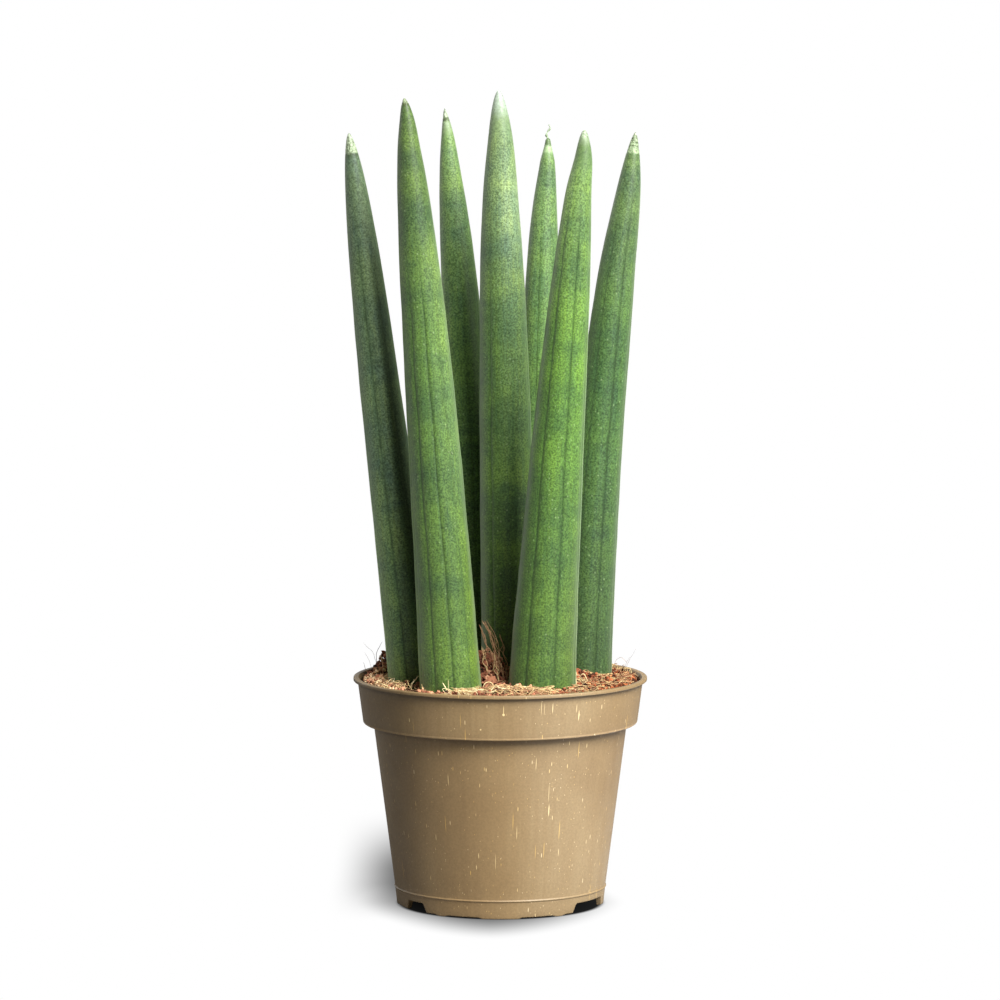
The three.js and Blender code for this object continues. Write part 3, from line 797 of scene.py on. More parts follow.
def leaf_surface(number, leaf, seed):
    """Rings square to the middle line. The distance out is the radius, less a rib term that is
    deepest at a groove and gone half way to the next, less a bell-shaped crease at the groove
    itself, plus slow waves. Also gives what the finish reads at each point: the way along, round
    and to the tip, how deep line and valley are, and the pale or deep zone."""
    grooves, length = leaf["grooves"], leaf["tip"][2] - BED_LEVEL
    low = -SUNK / length
    steps = np.linspace(0, 1, RINGS_UP)
    share = (low + (1 - low) * (1 - (1 - steps) ** CROWDING))[:, None]
    to_tip = (1 - share) * length
    cell = np.linspace(-1, 1, COLUMNS_PER_GROOVE, endpoint=False)
    cell = np.sign(cell) * np.abs(cell) ** CROWDING
    off = np.tile(cell, grooves)[None, :]
    middle_of = np.repeat(np.arange(grooves), COLUMNS_PER_GROOVE)[None, :]
    spine = np.concatenate([0 * to_tip, 0 * to_tip, to_tip], axis=1)
    wander = waviness(spine, WANDER_LENGTH, seed + 20)
    swing = leaf["turn"] + leaf["twist"] * np.maximum(share, 0) + WANDER * wander[:, None]
    angle = swing + (middle_of + off / 2) * 360 / grooves
    turn = np.radians(angle)

    middle = leaf_middle(leaf, share[:, 0])
    along = np.gradient(middle, share[:, 0], axis=0)
    along /= np.linalg.norm(along, axis=-1, keepdims=True)
    right = np.array([1.0, 0, 0]) - along * along[:, :1]
    right /= np.linalg.norm(right, axis=-1, keepdims=True)
    back = np.cross(along, right)
    bend, at, wide = NOSE_BENDS[number]
    middle[:, 0] += bend * np.exp(-((to_tip[:, 0] - at) / wide) ** 2)

    radius = leaf_radius(leaf, share)
    if number == WISP["leaf"]:
        whole = ease(WISP["long"] - 0.4, WISP["long"] + 0.7, to_tip)
        curl = np.sin(2 * math.pi * to_tip / WISP["long"])
        slim = 0.6 + 0.4 * ease(5, 16, to_tip)
        thin = WISP["thick"] * (0.72 + 0.28 * np.cos(2.6 * to_tip)) * ease(0, 0.6, to_tip)
        radius = thin + (radius * slim - thin) * whole
        middle[:, 0] += WISP["sway"] * (curl * (1 - whole))[:, 0]
    arc = np.abs(off) * math.pi / grooves * radius
    marks, begin = np.array(GROOVES[number][0]), GROOVES[number][1]
    own, beside = marks[middle_of], marks[(middle_of + np.sign(off).astype(int)) % grooves]
    mark = own + (beside - own) * np.abs(off) / 2
    mark = mark * ease(*begin, to_tip)
    rib = RIB_DEPTH * mark * (1 - np.sin(np.abs(off) * math.pi / 2) ** 0.8)
    fade = ease(0, 9, radius)
    bell = np.exp(-(arc / CREASE_WIDTH) ** 2)
    crease = CREASE_DEPTH * mark * fade * bell
    out = right[:, None] * np.sin(turn)[..., None] - back[:, None] * np.cos(turn)[..., None]
    rough = middle[:, None] + out * radius[..., None]
    (long_high, long), (short_high, short) = LONG_WAVES, SHORT_WAVES
    waves = long_high * waviness(rough, long, seed)
    waves = waves + short_high * waviness(rough * [1, 1, 0.3], short, seed + 50)
    reach = radius * (1 - rib) - crease + np.minimum(waves - 0.1, 0.05) * fade
    dry = 1 - ease(CRUMBLY[number] - 0.3, CRUMBLY[number] + 0.3, to_tip)
    flakes = DRY_WAVES[0] * np.abs(waviness(rough, DRY_WAVES[1], seed + 9))
    reach = reach - dry * np.minimum(flakes, 0.3 * radius)
    points = middle[:, None] + out * reach[..., None]
    broken = 0.75 + 0.4 * waviness(rough, 9, seed + 7)
    height = share * length
    for seed_shift, (high, long) in zip((3, 4), ZONE_WAVES):
        height = height + high * waviness(rough, long, seed + seed_shift)
    zone = sum(much * np.exp(-((height - at) / half) ** 2) for at, half, much in ZONES[number])
    shape = np.zeros_like(reach)
    values = {
        "along": share * length + shape,
        "sine": np.sin(turn) + shape,
        "cosine": np.cos(turn) + shape,
        "line": np.clip(mark * broken, 0, 1) * bell,
        "valley": np.clip(mark, 0, 1) * np.exp(-arc / 1.6),
        "zone": zone,
        "to_tip": to_tip + shape,
    }
    return points, values


def leaf_piece(number):
    """A closed mesh: the rings, a fan under the foot and a fan up to the tip."""
    leaf = LEAVES[number]
    points, values = leaf_surface(number, leaf, 100 * number)
    ends = leaf_middle(leaf, np.array([-SUNK / (leaf["tip"][2] - BED_LEVEL), 1.0]))
    flat, faces = closed_tube(points[:-1], *ends)
    numbers = {
        key: np.concatenate([value[:-1].ravel(), [value[0].mean(), value[-2].mean()]])
        for key, value in values.items()
    }
    return new_mesh(f"spear_{number}", flat, faces, numbers)


# %% [markdown]
# ## The leaf skin
#
# Leaf skin is not one green. It is paler at the crown than at the foot. Soft darker bands cross it,
# as on every snake plant, between them lie yellower patches, and over all of it goes a fine mottle
# of darker and paler dots under a millimetre apart. The creases are drawn as dark green lines. A
# thin bloom of wax scatters light along the edges, which is what sheen does. Some sides are also
# painted paler or darker: painted sheen on the left rims, painted shade on the right rims and where
# a neighbour hides the lamp, and painted highlights on a few stretches. Each pattern here
# multiplies the green below it by a tint, so all seven spears share one recipe and keep their own
# greens. The dry tip is a colour ramp that is read by the distance below the tip.

# %% Leaf colours
GREENS = {
    # at the crown, half way up and at the foot
    1: (srgb(80, 98, 78), srgb(90, 111, 83), srgb(88, 112, 66)),
    2: (srgb(69, 90, 48), srgb(72, 100, 50), srgb(73, 98, 44)),
    3: (srgb(106, 133, 82), srgb(84, 114, 60), srgb(70, 98, 50)),
    4: (srgb(110, 131, 90), srgb(82, 110, 58), srgb(61, 83, 33)),
    5: (srgb(92, 118, 73), srgb(89, 121, 66), srgb(78, 106, 56)),
    6: (srgb(94, 121, 68), srgb(80, 114, 49), srgb(68, 94, 43)),
    7: (srgb(80, 102, 65), srgb(66, 96, 50), srgb(55, 77, 42)),
}
CREASE_GREEN = srgb(30, 50, 20)
SPECK = srgb(150, 172, 122)

# Stretches that differ from the rest of a leaf: degrees round over which they set in, heights
# over the bed between which they begin, those between which they end, and the tint. Most are
# painted light. The left rims, and the left sides near some tips, are painted paler, a painted sheen
# of the wax bloom; the right rims and the sides that face a neighbour are painted darker, a painted
# shade; a few pale bluish stretches are painted highlights. The yellower stretches low on the
# second and sixth spears are their own colour. Towards the back of a leaf all of them fade out.
LEFT_RIM_PAINTED_SHEEN = (-48, -74)
RIGHT_RIM_PAINTED_SHADE = (52, 80)
BACK = (92, 150)
FIBRES_ROUND = 19.5
FLANK_TINTS_AND_PAINTED_LIGHT = {
    1: [((6, 30), (20, 50), (160, 215), (0.42, 0.42, 0.40)),
        (LEFT_RIM_PAINTED_SHEEN, (-30, -20), (190, 215), (1.42, 1.36, 1.42)),
        (LEFT_RIM_PAINTED_SHEEN, (-30, -20), (40, 130), (1.45, 1.38, 1.60))],
    2: [(LEFT_RIM_PAINTED_SHEEN, (-30, -20), (150, 215), (1.40, 1.32, 1.30)),
        ((36, 62), (-30, -20), (40, 90), (1.18, 1.12, 0.55)),
        ((15, 50), (40, 110), (172, 192), (1.45, 1.28, 1.55)),
        (RIGHT_RIM_PAINTED_SHADE, (-30, -20), (60, 110), (0.70, 0.71, 0.72))],
    3: [((4, 32), (20, 60), (150, 192), (0.36, 0.37, 0.35)),
        (LEFT_RIM_PAINTED_SHEEN, (-30, -20), (180, 215), (1.40, 1.34, 1.34))],
    4: [((-20, 30), (70, 150), (190, 218), (1.56, 1.44, 1.82))],
    5: [(LEFT_RIM_PAINTED_SHEEN, (-30, -20), (180, 210), (1.40, 1.34, 1.34)),
        ((-8, -42), (60, 130), (222, 236), (1.32, 1.26, 1.36))],
    6: [((22, 50), (-30, -20), (30, 75), (1.14, 1.02, 0.92)),
        ((-8, -42), (150, 180), (222, 236), (1.42, 1.32, 1.50)),
        (RIGHT_RIM_PAINTED_SHADE, (-30, -20), (130, 180), (0.66, 0.70, 0.58))],
    7: [(RIGHT_RIM_PAINTED_SHADE, (-30, -20), (150, 205), (0.62, 0.64, 0.58))],
}

# Colours of the dry tip: millimetres below the tip, red, green, blue, and how much of it covers
# the green. The last value is how ragged the edges are, in millimetres.
TIPS = {
    1: ([(0, 150, 160, 140, 1), (3, 140, 152, 126, 1), (7.8, 142, 158, 126, 1),
         (8.4, 52, 66, 40, 0.8), (10.5, 52, 66, 40, 0.0)], 1.0),
    2: ([(0, 140, 150, 124, 1), (1.5, 112, 124, 92, 1), (2.3, 60, 68, 38, 0.9),
         (3.6, 62, 80, 42, 0.5), (6, 66, 84, 46, 0.0)], 0.8),
    3: ([(0, 150, 162, 140, 1), (3.6, 138, 152, 124, 1), (4.4, 84, 98, 66, 1),
         (5.4, 92, 108, 74, 1), (6.2, 134, 152, 118, 1), (9.5, 122, 143, 100, 0.8),
         (12.5, 112, 134, 90, 0.0)], 0.9),
    4: ([(0, 158, 170, 158, 1), (5, 150, 165, 146, 1), (9.5, 130, 147, 120, 0.95),
         (12, 114, 134, 98, 0.6), (22, 110, 131, 92, 0.0)], 4.0),
    5: ([(0, 176, 188, 164, 1), (5.7, 138, 158, 122, 1), (6.2, 86, 105, 70, 0.9),
         (8.5, 91, 112, 75, 0.9), (9.2, 146, 168, 126, 1), (11.4, 142, 166, 120, 1),
         (12.4, 104, 131, 81, 0.5), (15, 104, 131, 81, 0.0)], 0.7),
    6: ([(0, 148, 162, 136, 1), (2.2, 134, 150, 120, 1), (4.4, 118, 136, 102, 0.95),
         (6.5, 84, 106, 68, 0.7), (12, 88, 112, 70, 0.5), (19, 99, 125, 80, 0.0)], 1.6),
    7: ([(0, 156, 168, 144, 1), (1.8, 134, 148, 118, 1), (2.4, 82, 94, 64, 1),
         (3.0, 144, 160, 128, 1), (3.8, 140, 157, 122, 1), (4.3, 78, 92, 60, 1),
         (4.9, 140, 157, 122, 1), (5.4, 84, 99, 66, 1), (6.0, 142, 160, 124, 1),
         (8.4, 136, 155, 116, 1), (8.9, 72, 94, 54, 0.7), (11, 76, 98, 56, 0.0)], 0.7),
}
TIP_REACH = 25.0


# %% Leaf finish
# How strongly each pattern takes part in the unevenness of the green.
UNEVEN = dict(zone=0.30, patches=1.15, bands=0.5, mottle=0.12)
# Tints where a pattern is high and where it is low.
UNEVEN_TINTS = (1.38, 1.32, 0.90), (0.54, 0.62, 0.74)
MOTTLE_TINTS = (1.48, 1.46, 1.60), (0.46, 0.49, 0.46)
FIBRE_TINTS = (1.1, 1.06, 0.92), (0.88, 0.93, 1.05)
FLAKE_TINTS = (1.4, 1.4, 1.4), (0.5, 0.5, 0.46)
VALLEY_TINT = (0.62, 0.7, 0.62)


def leaf_finish(number):
    """Greens, mottle, zones, fibres, creases, the painted light and shade on the flanks, and the
    dry tip, in that order from below to above.
    """
    crown, waist, foot = GREENS[number]
    finish = new_finish(f"spear_skin_{number}")
    where = coordinates()
    shift = (number * 3.7, number * 1.3, number * 2.1)
    bands = cloud(stretched(where, (26, 26, 150), shift), 1.0, 4, 0.62, 0.6)
    patches = cloud(stretched(where, (120, 120, 75), shift), 1.0, 4, 0.65, 0.5)
    mottle = cloud(stretched(where, (1350, 1350, 1450), shift), 1.0, 2, 0.7)
    distance, lot, _ = cells(stretched(where, (800, 800, 700), shift))
    speck = times(spread(distance, 0.1, 0.4, 1.0, 0.0), spread(lot, 0.8, 0.98))
    sine, cosine, along = stored("sine"), stored("cosine"), stored("along")
    around = sums("DEGREES", sums("ARCTAN2", sine, cosine))
    fibre_place = {0: times(sine, FIBRES_ROUND), 1: times(cosine, FIBRES_ROUND),
                   2: scaled(along, 0.03, 7.0 * number)}
    fibres = cloud(add("ShaderNodeCombineXYZ", fibre_place).outputs[0], 1.0, 3, 0.65)
    long = LEAVES[number]["tip"][2] - BED_LEVEL

    colour = paint_over(spread(along, 0.0, 0.55 * long), foot, waist)
    colour = paint_over(spread(along, 0.55 * long, 0.95 * long), colour, crown)
    uneven = scaled(stored("zone"), UNEVEN["zone"], 0.5)
    for name, pattern in (("patches", patches), ("bands", bands), ("mottle", mottle)):
        uneven = scaled(sums("SUBTRACT", pattern, 0.5), UNEVEN[name], uneven)
    colour = tinted(colour, spread(uneven, 0.0, 1.0), *UNEVEN_TINTS)
    colour = tinted(colour, spread(mottle, 0.3, 0.7), *MOTTLE_TINTS)
    colour = tinted(colour, spread(fibres, 0.3, 0.7), *FIBRE_TINTS)
    colour = paint_over(times(speck, 0.4), colour, SPECK)
    colour = tinted(colour, stored("valley"), VALLEY_TINT)
    colour = paint_over(times(stored("line"), 0.62), colour, CREASE_GREEN)

    # Painted sheen, painted shade and painted highlights on the flanks, with a few tints of the leaf's
    # own colour.
    not_back = spread(sums("ABSOLUTE", around), *BACK, 1.0, 0.0)
    for turned_by, begins, ends, tint in FLANK_TINTS_AND_PAINTED_LIGHT[number]:
        flank = times(band(along, begins, ends), spread(around, *turned_by), not_back)
        colour = tinted(colour, flank, tint)

    stops, ragged = TIPS[number]
    rag = sums("SUBTRACT", cloud(where, 520, 3, 0.6), 0.5)
    below = sums("DIVIDE", scaled(rag, ragged * 2, stored("to_tip")), TIP_REACH)
    tip_colour, cover = ramp(below, [
        (place / TIP_REACH, (*srgb(*tone)[:3], cover)) for place, *tone, cover in stops
    ])
    crumble = spread(stored("to_tip"), CRUMBLY[number], CRUMBLY[number] + 1.5, 1.0, 0.3)
    flake = sums("SUBTRACT", spread(cloud(where, 1000, 3, 0.7), 0.35, 0.65), 0.5)
    tip_colour = tinted(tip_colour, scaled(flake, crumble, 0.5), *FLAKE_TINTS)
    colour = paint_over(cover, colour, tip_colour)

    rough = spread(mottle, 0.3, 0.7, 0.42, 0.54)
    tilt = bump(mottle, 0.00006, 0.5, bump(patches, 0.0004, 0.3))
    shader(colour, rough, tilt, Specular_IOR_Level=0.32, Sheen_Weight=0.32, Sheen_Roughness=0.5,
           Sheen_Tint=(0.78, 1.0, 0.62, 1.0))
    return finish


for number in LEAVES:
    settle(leaf_piece(number), leaf_finish(number), "leaf", f"leaf_{number}")

# %% [markdown]
# ## The bed of coir
#
# The pot is filled to just under its lip with coconut fibre and peat crumbs. Its surface is a disc
# of rings whose height is a level plus a few mounds, worn down towards the pot's wall, plus lumps
# of a few sizes. The same rings carry on down the inside of the wall to the pot's floor, so the
# bed is one closed body. It is painted dark, as painted shade, because what shows of it lies deep
# between the crumbs.

# %% Bed form
BED_RADIUS = 56.6
# Corners of the bed's side from the top down: distance from the axis and height.
BED_SIDE = [(54.6, 76.5), (50.4, 76.5), (41.6, 6.7)]
BED_DROP = 1.0  # the bed lies this far under the crumbs' level
SHOULDER = 9.0  # the mounds fade over this distance from the wall
# Mounds: middle x and y, height and width of the bell.
MOUNDS = [(-6, -3, 11, 8), (-46, 12, 9, 8), (24, 38, 4, 13), (30, 3, 2.5, 6), (2, -44, 2, 8)]


def bed_height(x, y):
    """Level plus one bell for each mound, all eased to nothing over the last millimetres before
    the wall."""
    fade = ease(0, SHOULDER, BED_RADIUS - np.hypot(x, y))
    rise = sum(
        top * np.exp(-((x - mx) ** 2 + (y - my) ** 2) / (2 * wide ** 2))
        for mx, my, top, wide in MOUNDS
    )
    return BED_LEVEL + rise * fade


bed_turns = np.radians(np.arange(0, 360, 1.25))
bed_rings = np.linspace(0, 1, 104)[1:] * BED_RADIUS
ring_x = bed_rings[::-1, None] * np.sin(bed_turns)
ring_y = -bed_rings[::-1, None] * np.cos(bed_turns)
top_points = np.stack([ring_x, ring_y, bed_height(ring_x, ring_y)], axis=-1)
lumps = 0.8 * waviness(top_points, 5.5, 31) + 0.5 * waviness(top_points, 2.3, 32)
top_points[..., 2] += lumps * ease(0, 1.5, BED_RADIUS - np.hypot(ring_x, ring_y)) - BED_DROP
side_points = np.array([
    [[r * math.sin(t), -r * math.cos(t), z] for t in bed_turns] for r, z in reversed(BED_SIDE)
])
bed_ends = [0, 0, BED_SIDE[-1][1]], [0, 0, bed_height(0.0, 0.0) - BED_DROP]
bed = new_mesh("coir_bed", *closed_tube(np.concatenate([side_points, top_points]), *bed_ends))


# %% Crumb colours and the bed's finish
# Dark soil, brick-red coir, pinkish tan and pale straw, by a tone from 0 to 1.
COIR_TONES = [
    (0.00, srgb(34, 20, 14)), (0.20, srgb(82, 44, 30)), (0.42, srgb(138, 84, 60)),
    (0.62, srgb(176, 118, 88)), (0.80, srgb(200, 152, 116)), (1.00, srgb(222, 194, 152)),
]
STRAW_TONES = [
    (0.00, srgb(70, 42, 30)), (0.30, srgb(138, 96, 72)), (0.55, srgb(184, 146, 104)),
    (0.80, srgb(214, 186, 130)), (1.00, srgb(232, 214, 168)),
]
# The orange tint of the right-hand side, and the x in metres over which it sets in.
ORANGE, ORANGE_FROM = (1.24, 0.96, 0.62), (0.005, 0.05)
CRUMB_GRAIN, BED_GRAIN = 0.34, 0.5  # how much of the tone a fine cloud moves


def coir_finish(name, base_tone=None, tones=COIR_TONES):
    """Coir by the tone stored on each crumb, or by one darker range for the bed below them. The
    crumbs on the right-hand side of the pot are more orange than the rest."""
    finish = new_finish(name)
    where = coordinates()
    small = cloud(where, 1100, 3, 0.65)
    if base_tone is None:
        tone = scaled(small, CRUMB_GRAIN, sums("SUBTRACT", stored("tone"), CRUMB_GRAIN / 2))
    else:
        tone = scaled(cloud(where, 330, 3), BED_GRAIN, base_tone - BED_GRAIN / 2)
    colour, _ = ramp(tone, tones)
    if tones is COIR_TONES:
        colour = tinted(colour, spread(axes(where)[0], *ORANGE_FROM), ORANGE)
    rough = spread(small, 0.3, 0.7, 0.78, 0.95)
    shader(colour, rough, bump(small, 0.00022, 0.9), Specular_IOR_Level=0.25)
    return finish


settle(bed, coir_finish("coir_in_shade", 0.16), "coir", "growing_medium")

# %% [markdown]
# ## Crumbs
#
# The crumbs are what the eye sees of the filling. Each is a pebble of twenty faces whose corners
# are pushed in and out, then squashed and turned at random. Thousands of them are worked out at
# once in one array and make two meshes, small and large. They keep out of the leaves and lie a
# little sunk in the bed.


# %% Crumb makers
# Hollows between the crumbs, where the dark bed shows: middle and radius.
HOLLOWS = [(-35.5, -25, 5.0), (-36, -33, 4.0), (-36.4, -40, 3.6), (-7, -24, 4.2),
           (1, -47, 2.0), (31, -27, 2.2), (35, -24, 1.8), (41, -12, 1.7), (47, -18, 1.5),
           (7, -49, 1.6), (-5, -49, 1.6), (18, -48, 1.5), (-47, -16, 1.5), (-42, -26, 1.5),
           (44, -22, 1.8), (39, -33, 1.6), (50, -8, 1.7), (-48, -22, 2.2), (-44, -31, 1.8),
           (12, -45, 1.7), (-12, -50, 1.6), (24, 44, 2.5), (-20, 8, 3), (-2, 44, 2.4)]


def pebble():
    """The twelve corners and twenty faces of the regular solid with twenty faces."""
    g = (1 + math.sqrt(5)) / 2
    corners = np.array([
        (-1, g, 0), (1, g, 0), (-1, -g, 0), (1, -g, 0), (0, -1, g), (0, 1, g),
        (0, -1, -g), (0, 1, -g), (g, 0, -1), (g, 0, 1), (-g, 0, -1), (-g, 0, 1),
    ]) / math.sqrt(1 + g * g)
    faces = np.array([
        (0, 11, 5), (0, 5, 1), (0, 1, 7), (0, 7, 10), (0, 10, 11), (1, 5, 9), (5, 11, 4),
        (11, 10, 2), (10, 7, 6), (7, 1, 8), (3, 9, 4), (3, 4, 2), (3, 2, 6), (3, 6, 8),
        (3, 8, 9), (4, 9, 5), (2, 4, 11), (6, 2, 10), (8, 6, 7), (9, 8, 1),
    ])
    return corners, faces


def turned(points, draw):
    """Each group of points turned by its own random rotation, made from a unit quaternion."""
    q = draw.normal(size=(len(points), 4))
    w, x, y, z = (q / np.linalg.norm(q, axis=1, keepdims=True)).T
    rows = np.array([
        [1 - 2 * (y * y + z * z), 2 * (x * y - z * w), 2 * (x * z + y * w)],
        [2 * (x * y + z * w), 1 - 2 * (x * x + z * z), 2 * (y * z - x * w)],
        [2 * (x * z - y * w), 2 * (y * z + x * w), 1 - 2 * (x * x + y * y)],
    ]).transpose(2, 0, 1)
    return points @ rows.transpose(0, 2, 1)


def clear_of_leaves(x, y, margin):
    """True where a spot on the bed is at least margin away from every spear's skin."""
    free = np.ones(len(x), dtype=bool)
    for leaf in LEAVES.values():
        level = (bed_height(x, y) - BED_LEVEL) / (leaf["tip"][2] - BED_LEVEL)
        middle = leaf_middle(leaf, level)
        free &= np.hypot(x - middle[:, 0], y - middle[:, 1]) > leaf_radius(leaf, level) + margin
    return free


def scatter(count, margin, edge, draw):
    """Random spots on the bed, even by area, clear of the leaves, the wall and the hollows."""
    distance = (BED_RADIUS - edge) * np.sqrt(draw.uniform(size=count))
    turn = draw.uniform(0, 2 * math.pi, count)
    x, y = distance * np.sin(turn), -distance * np.cos(turn)
    free = clear_of_leaves(x, y, margin)
    for middle_x, middle_y, radius in HOLLOWS:
        free &= np.hypot(x - middle_x, y - middle_y) > radius
    return x[free], y[free]


def crumbs(name, x, y, size, lift, tone, draw):
    """Pebbles at the given spots: corner distances vary by about a quarter, and the three axes
    differ so that most are longish and flat."""
    corners, faces = pebble()
    count = len(x)
    shape = corners * draw.uniform(0.72, 1.25, (count, 12, 1))
    shape = shape * draw.uniform([0.75, 0.55, 0.4], [1.3, 1.0, 0.8], (count, 3))[:, None]
    shape = turned(shape, draw) * size[:, None, None] / 2
    place = np.stack([x, y, bed_height(x, y) + lift * size], axis=-1)
    points = shape + place[:, None]
    order = faces[None] + 12 * np.arange(count)[:, None, None]
    piece = new_mesh(name, points, [order.reshape(-1, 3)], {"tone": np.repeat(tone, 12)})
    piece.data.polygons.foreach_set("use_smooth", np.zeros(count * 20, dtype=bool))
    return piece


# %% Crumbs on the bed
def tones_at(x, y, middle, wide, draw):
    """A tone for each crumb, with paler and darker neighbourhoods. The front of the left-hand side
    is painted paler than the middle, as painted light where the leaves shade it, and the right-hand
    side and the front edge are darker."""
    patch = waviness(np.stack([x, y, 0 * x], axis=-1), 11, 5)
    clump = waviness(np.stack([x, 0.3 * y, 0 * x], axis=-1), 3.2, 6)
    # Painted light: the front of the left-hand side is paler where the leaves shade it.
    left = (0.34 * ease(20, 42, -x) + 0.08 * ease(43, 53, -x)) * (1 - 1.4 * ease(0, 9, y))
    side = left - 0.24 * ease(12, 40, x)
    side = side - 0.08 * ease(30, 48, -y)
    return np.clip(draw.normal(middle, wide, len(x)) + 0.07 * patch + 0.17 * clump + side, 0.04, 0.98)


FINE_COUNT, FINE_SIZE, FINE_SPREAD, FINE_LIMITS = 8600, 1.3, 0.34, (0.7, 2.4)
COARSE_COUNT, COARSE_SIZE, COARSE_SPREAD, COARSE_LIMITS = 1400, 2.0, 0.26, (1.3, 3.2)
# Lumps that can be told apart in the photograph: x, y, size and tone.
LUMPS = [(-3.8, -20, 5.2, 0.58), (40, -30, 3.0, 0.5)]

crumb_finish = coir_finish("coir_crumbs")
draw = np.random.default_rng(7)
x, y = scatter(FINE_COUNT, -0.2, 0.9, draw)
size = np.clip(draw.lognormal(math.log(FINE_SIZE), FINE_SPREAD, len(x)), *FINE_LIMITS)
size *= 1 - 0.25 * ease(15, 45, x)
fine_crumbs = crumbs("coir_crumbs_fine", x, y, size, draw.uniform(-0.15, 0.8, len(x)),
                     tones_at(x, y, 0.48, 0.15, draw), draw)
settle(fine_crumbs, crumb_finish, "coir")

x, y = scatter(COARSE_COUNT, 0.2, 2.2, draw)
size = np.clip(draw.lognormal(math.log(COARSE_SIZE), COARSE_SPREAD, len(x)), *COARSE_LIMITS)
size *= 1 - 0.25 * ease(15, 45, x) - 0.25 * ease(28, 46, -y)
tone = tones_at(x, y, 0.54, 0.14, draw)
lump_x, lump_y, lump_size, lump_tone = np.array(LUMPS).T
x, y, size = np.append(x, lump_x), np.append(y, lump_y), np.append(size, lump_size)
tone = np.append(tone, lump_tone)
coarse_crumbs = crumbs("coir_crumbs_coarse", x, y, size, draw.uniform(0.0, 0.55, len(x)), tone, draw)
settle(coarse_crumbs, crumb_finish, "coir")

# %% [markdown]
# ## Fibres and roots
#
# Between the crumbs lie coir fibres, finer than a pencil line and curled, and round the middle
# leaves the plant's own reddish roots. A strand is a path with a three-sided tube round it. All
# paths are worked out together: a start, a direction that lies on the bed, a sideways curl that
# goes round as the path runs on, and an arch that lifts the middle.


# %% Strand makers
SLANT = np.array([0.31, 0.43, 0.85])
STRAND_LIFT, STRAND_EDGE = 0.35, 0.6  # over the bed, and from the wall
STRAND_END = 0.25  # how thick a strand's end is beside its middle


def strands(name, paths, radii, tone):
    """Three-sided tubes along many paths at once. Each ring stands square to its path: one side
    direction is square to the path and to a fixed slanted line, the other square to both."""
    count, rings = paths.shape[:2]
    along = np.gradient(paths, axis=1)
    along /= np.linalg.norm(along, axis=-1, keepdims=True) + 1e-9
    side = np.cross(along, SLANT)
    side /= np.linalg.norm(side, axis=-1, keepdims=True) + 1e-9
    other = np.cross(side, along)
    turn = np.radians([90, 210, 330])
    ring = np.cos(turn)[:, None] * side[:, :, None] + np.sin(turn)[:, None] * other[:, :, None]
    points = paths[:, :, None] + ring * radii[:, :, None, None]
    grid = grid_faces(rings, 3)
    base = (3 * rings * np.arange(count))[:, None, None]
    tubes = (grid[None] + base).reshape(-1, 4)
    first = np.array([2, 1, 0])[None] + base[:, 0]
    last = np.array([0, 1, 2])[None] + 3 * (rings - 1) + base[:, 0]
    return new_mesh(name, points, [tubes, first, last], {"tone": np.repeat(tone, 3 * rings)})


def curled_paths(x, y, long, arch, curl, rings, draw):
    """Paths from spots on the bed. Along each one the heading swings to and fro by curl, and the
    height over the bed is an arch that starts and ends just above it."""
    count = len(x)
    t = np.linspace(0, 1, rings)[None, :]
    heading = draw.uniform(0, 2 * math.pi, (count, 1))
    swing = curl * np.sin(2 * math.pi * (t * draw.uniform(0.5, 1.6, (count, 1))
                                         + draw.uniform(0, 1, (count, 1))))
    step = long[:, None] / (rings - 1)
    dx, dy = np.cos(heading + swing) * step, np.sin(heading + swing) * step
    px = x[:, None] + np.cumsum(dx, axis=1) - dx[:, :1]
    py = y[:, None] + np.cumsum(dy, axis=1) - dy[:, :1]
    reach = np.hypot(px, py)
    inside = np.minimum(1, (BED_RADIUS - STRAND_EDGE) / np.maximum(reach, 1e-6))
    px, py = px * inside, py * inside
    up = arch[:, None] * np.sin(math.pi * t) ** 0.8
    return np.stack([px, py, bed_height(px, py) + STRAND_LIFT + up], axis=-1)


def taper(thick, rings):
    """Radius of each ring: full along the strand and thin at both ends, by a power of a sine."""
    t = np.linspace(0, 1, rings)
    return thick[:, None] * (STRAND_END + (1 - STRAND_END) * np.sin(math.pi * t) ** 0.4)[None, :]


def laid_paths(lines, rings, wobble, draw):
    """Paths through given points (x, y, height over the bed) in even steps. Each point is averaged
    twice with its neighbours, which rounds the corners, and a small waver moves it along x."""
    made = []
    for line in lines:
        line = np.array(line, dtype=float)
        reach = np.concatenate([[0], np.cumsum(np.linalg.norm(np.diff(line, axis=0), axis=1))])
        even = np.linspace(0, reach[-1], rings)
        path = np.stack([np.interp(even, reach, line[:, k]) for k in range(3)], axis=-1)
        for _ in range(2):
            path[1:-1] = (path[:-2] + 2 * path[1:-1] + path[2:]) / 4
        waver = waviness(path * [1, 1, 1.3] + draw.uniform(-50, 50, 3), 5.0, int(draw.integers(999)))
        path[:, 0] += wobble * waver * np.sin(np.linspace(0, math.pi, rings))
        path[:, 2] += bed_height(path[:, 0], path[:, 1])
        made.append(path)
    return np.array(made)


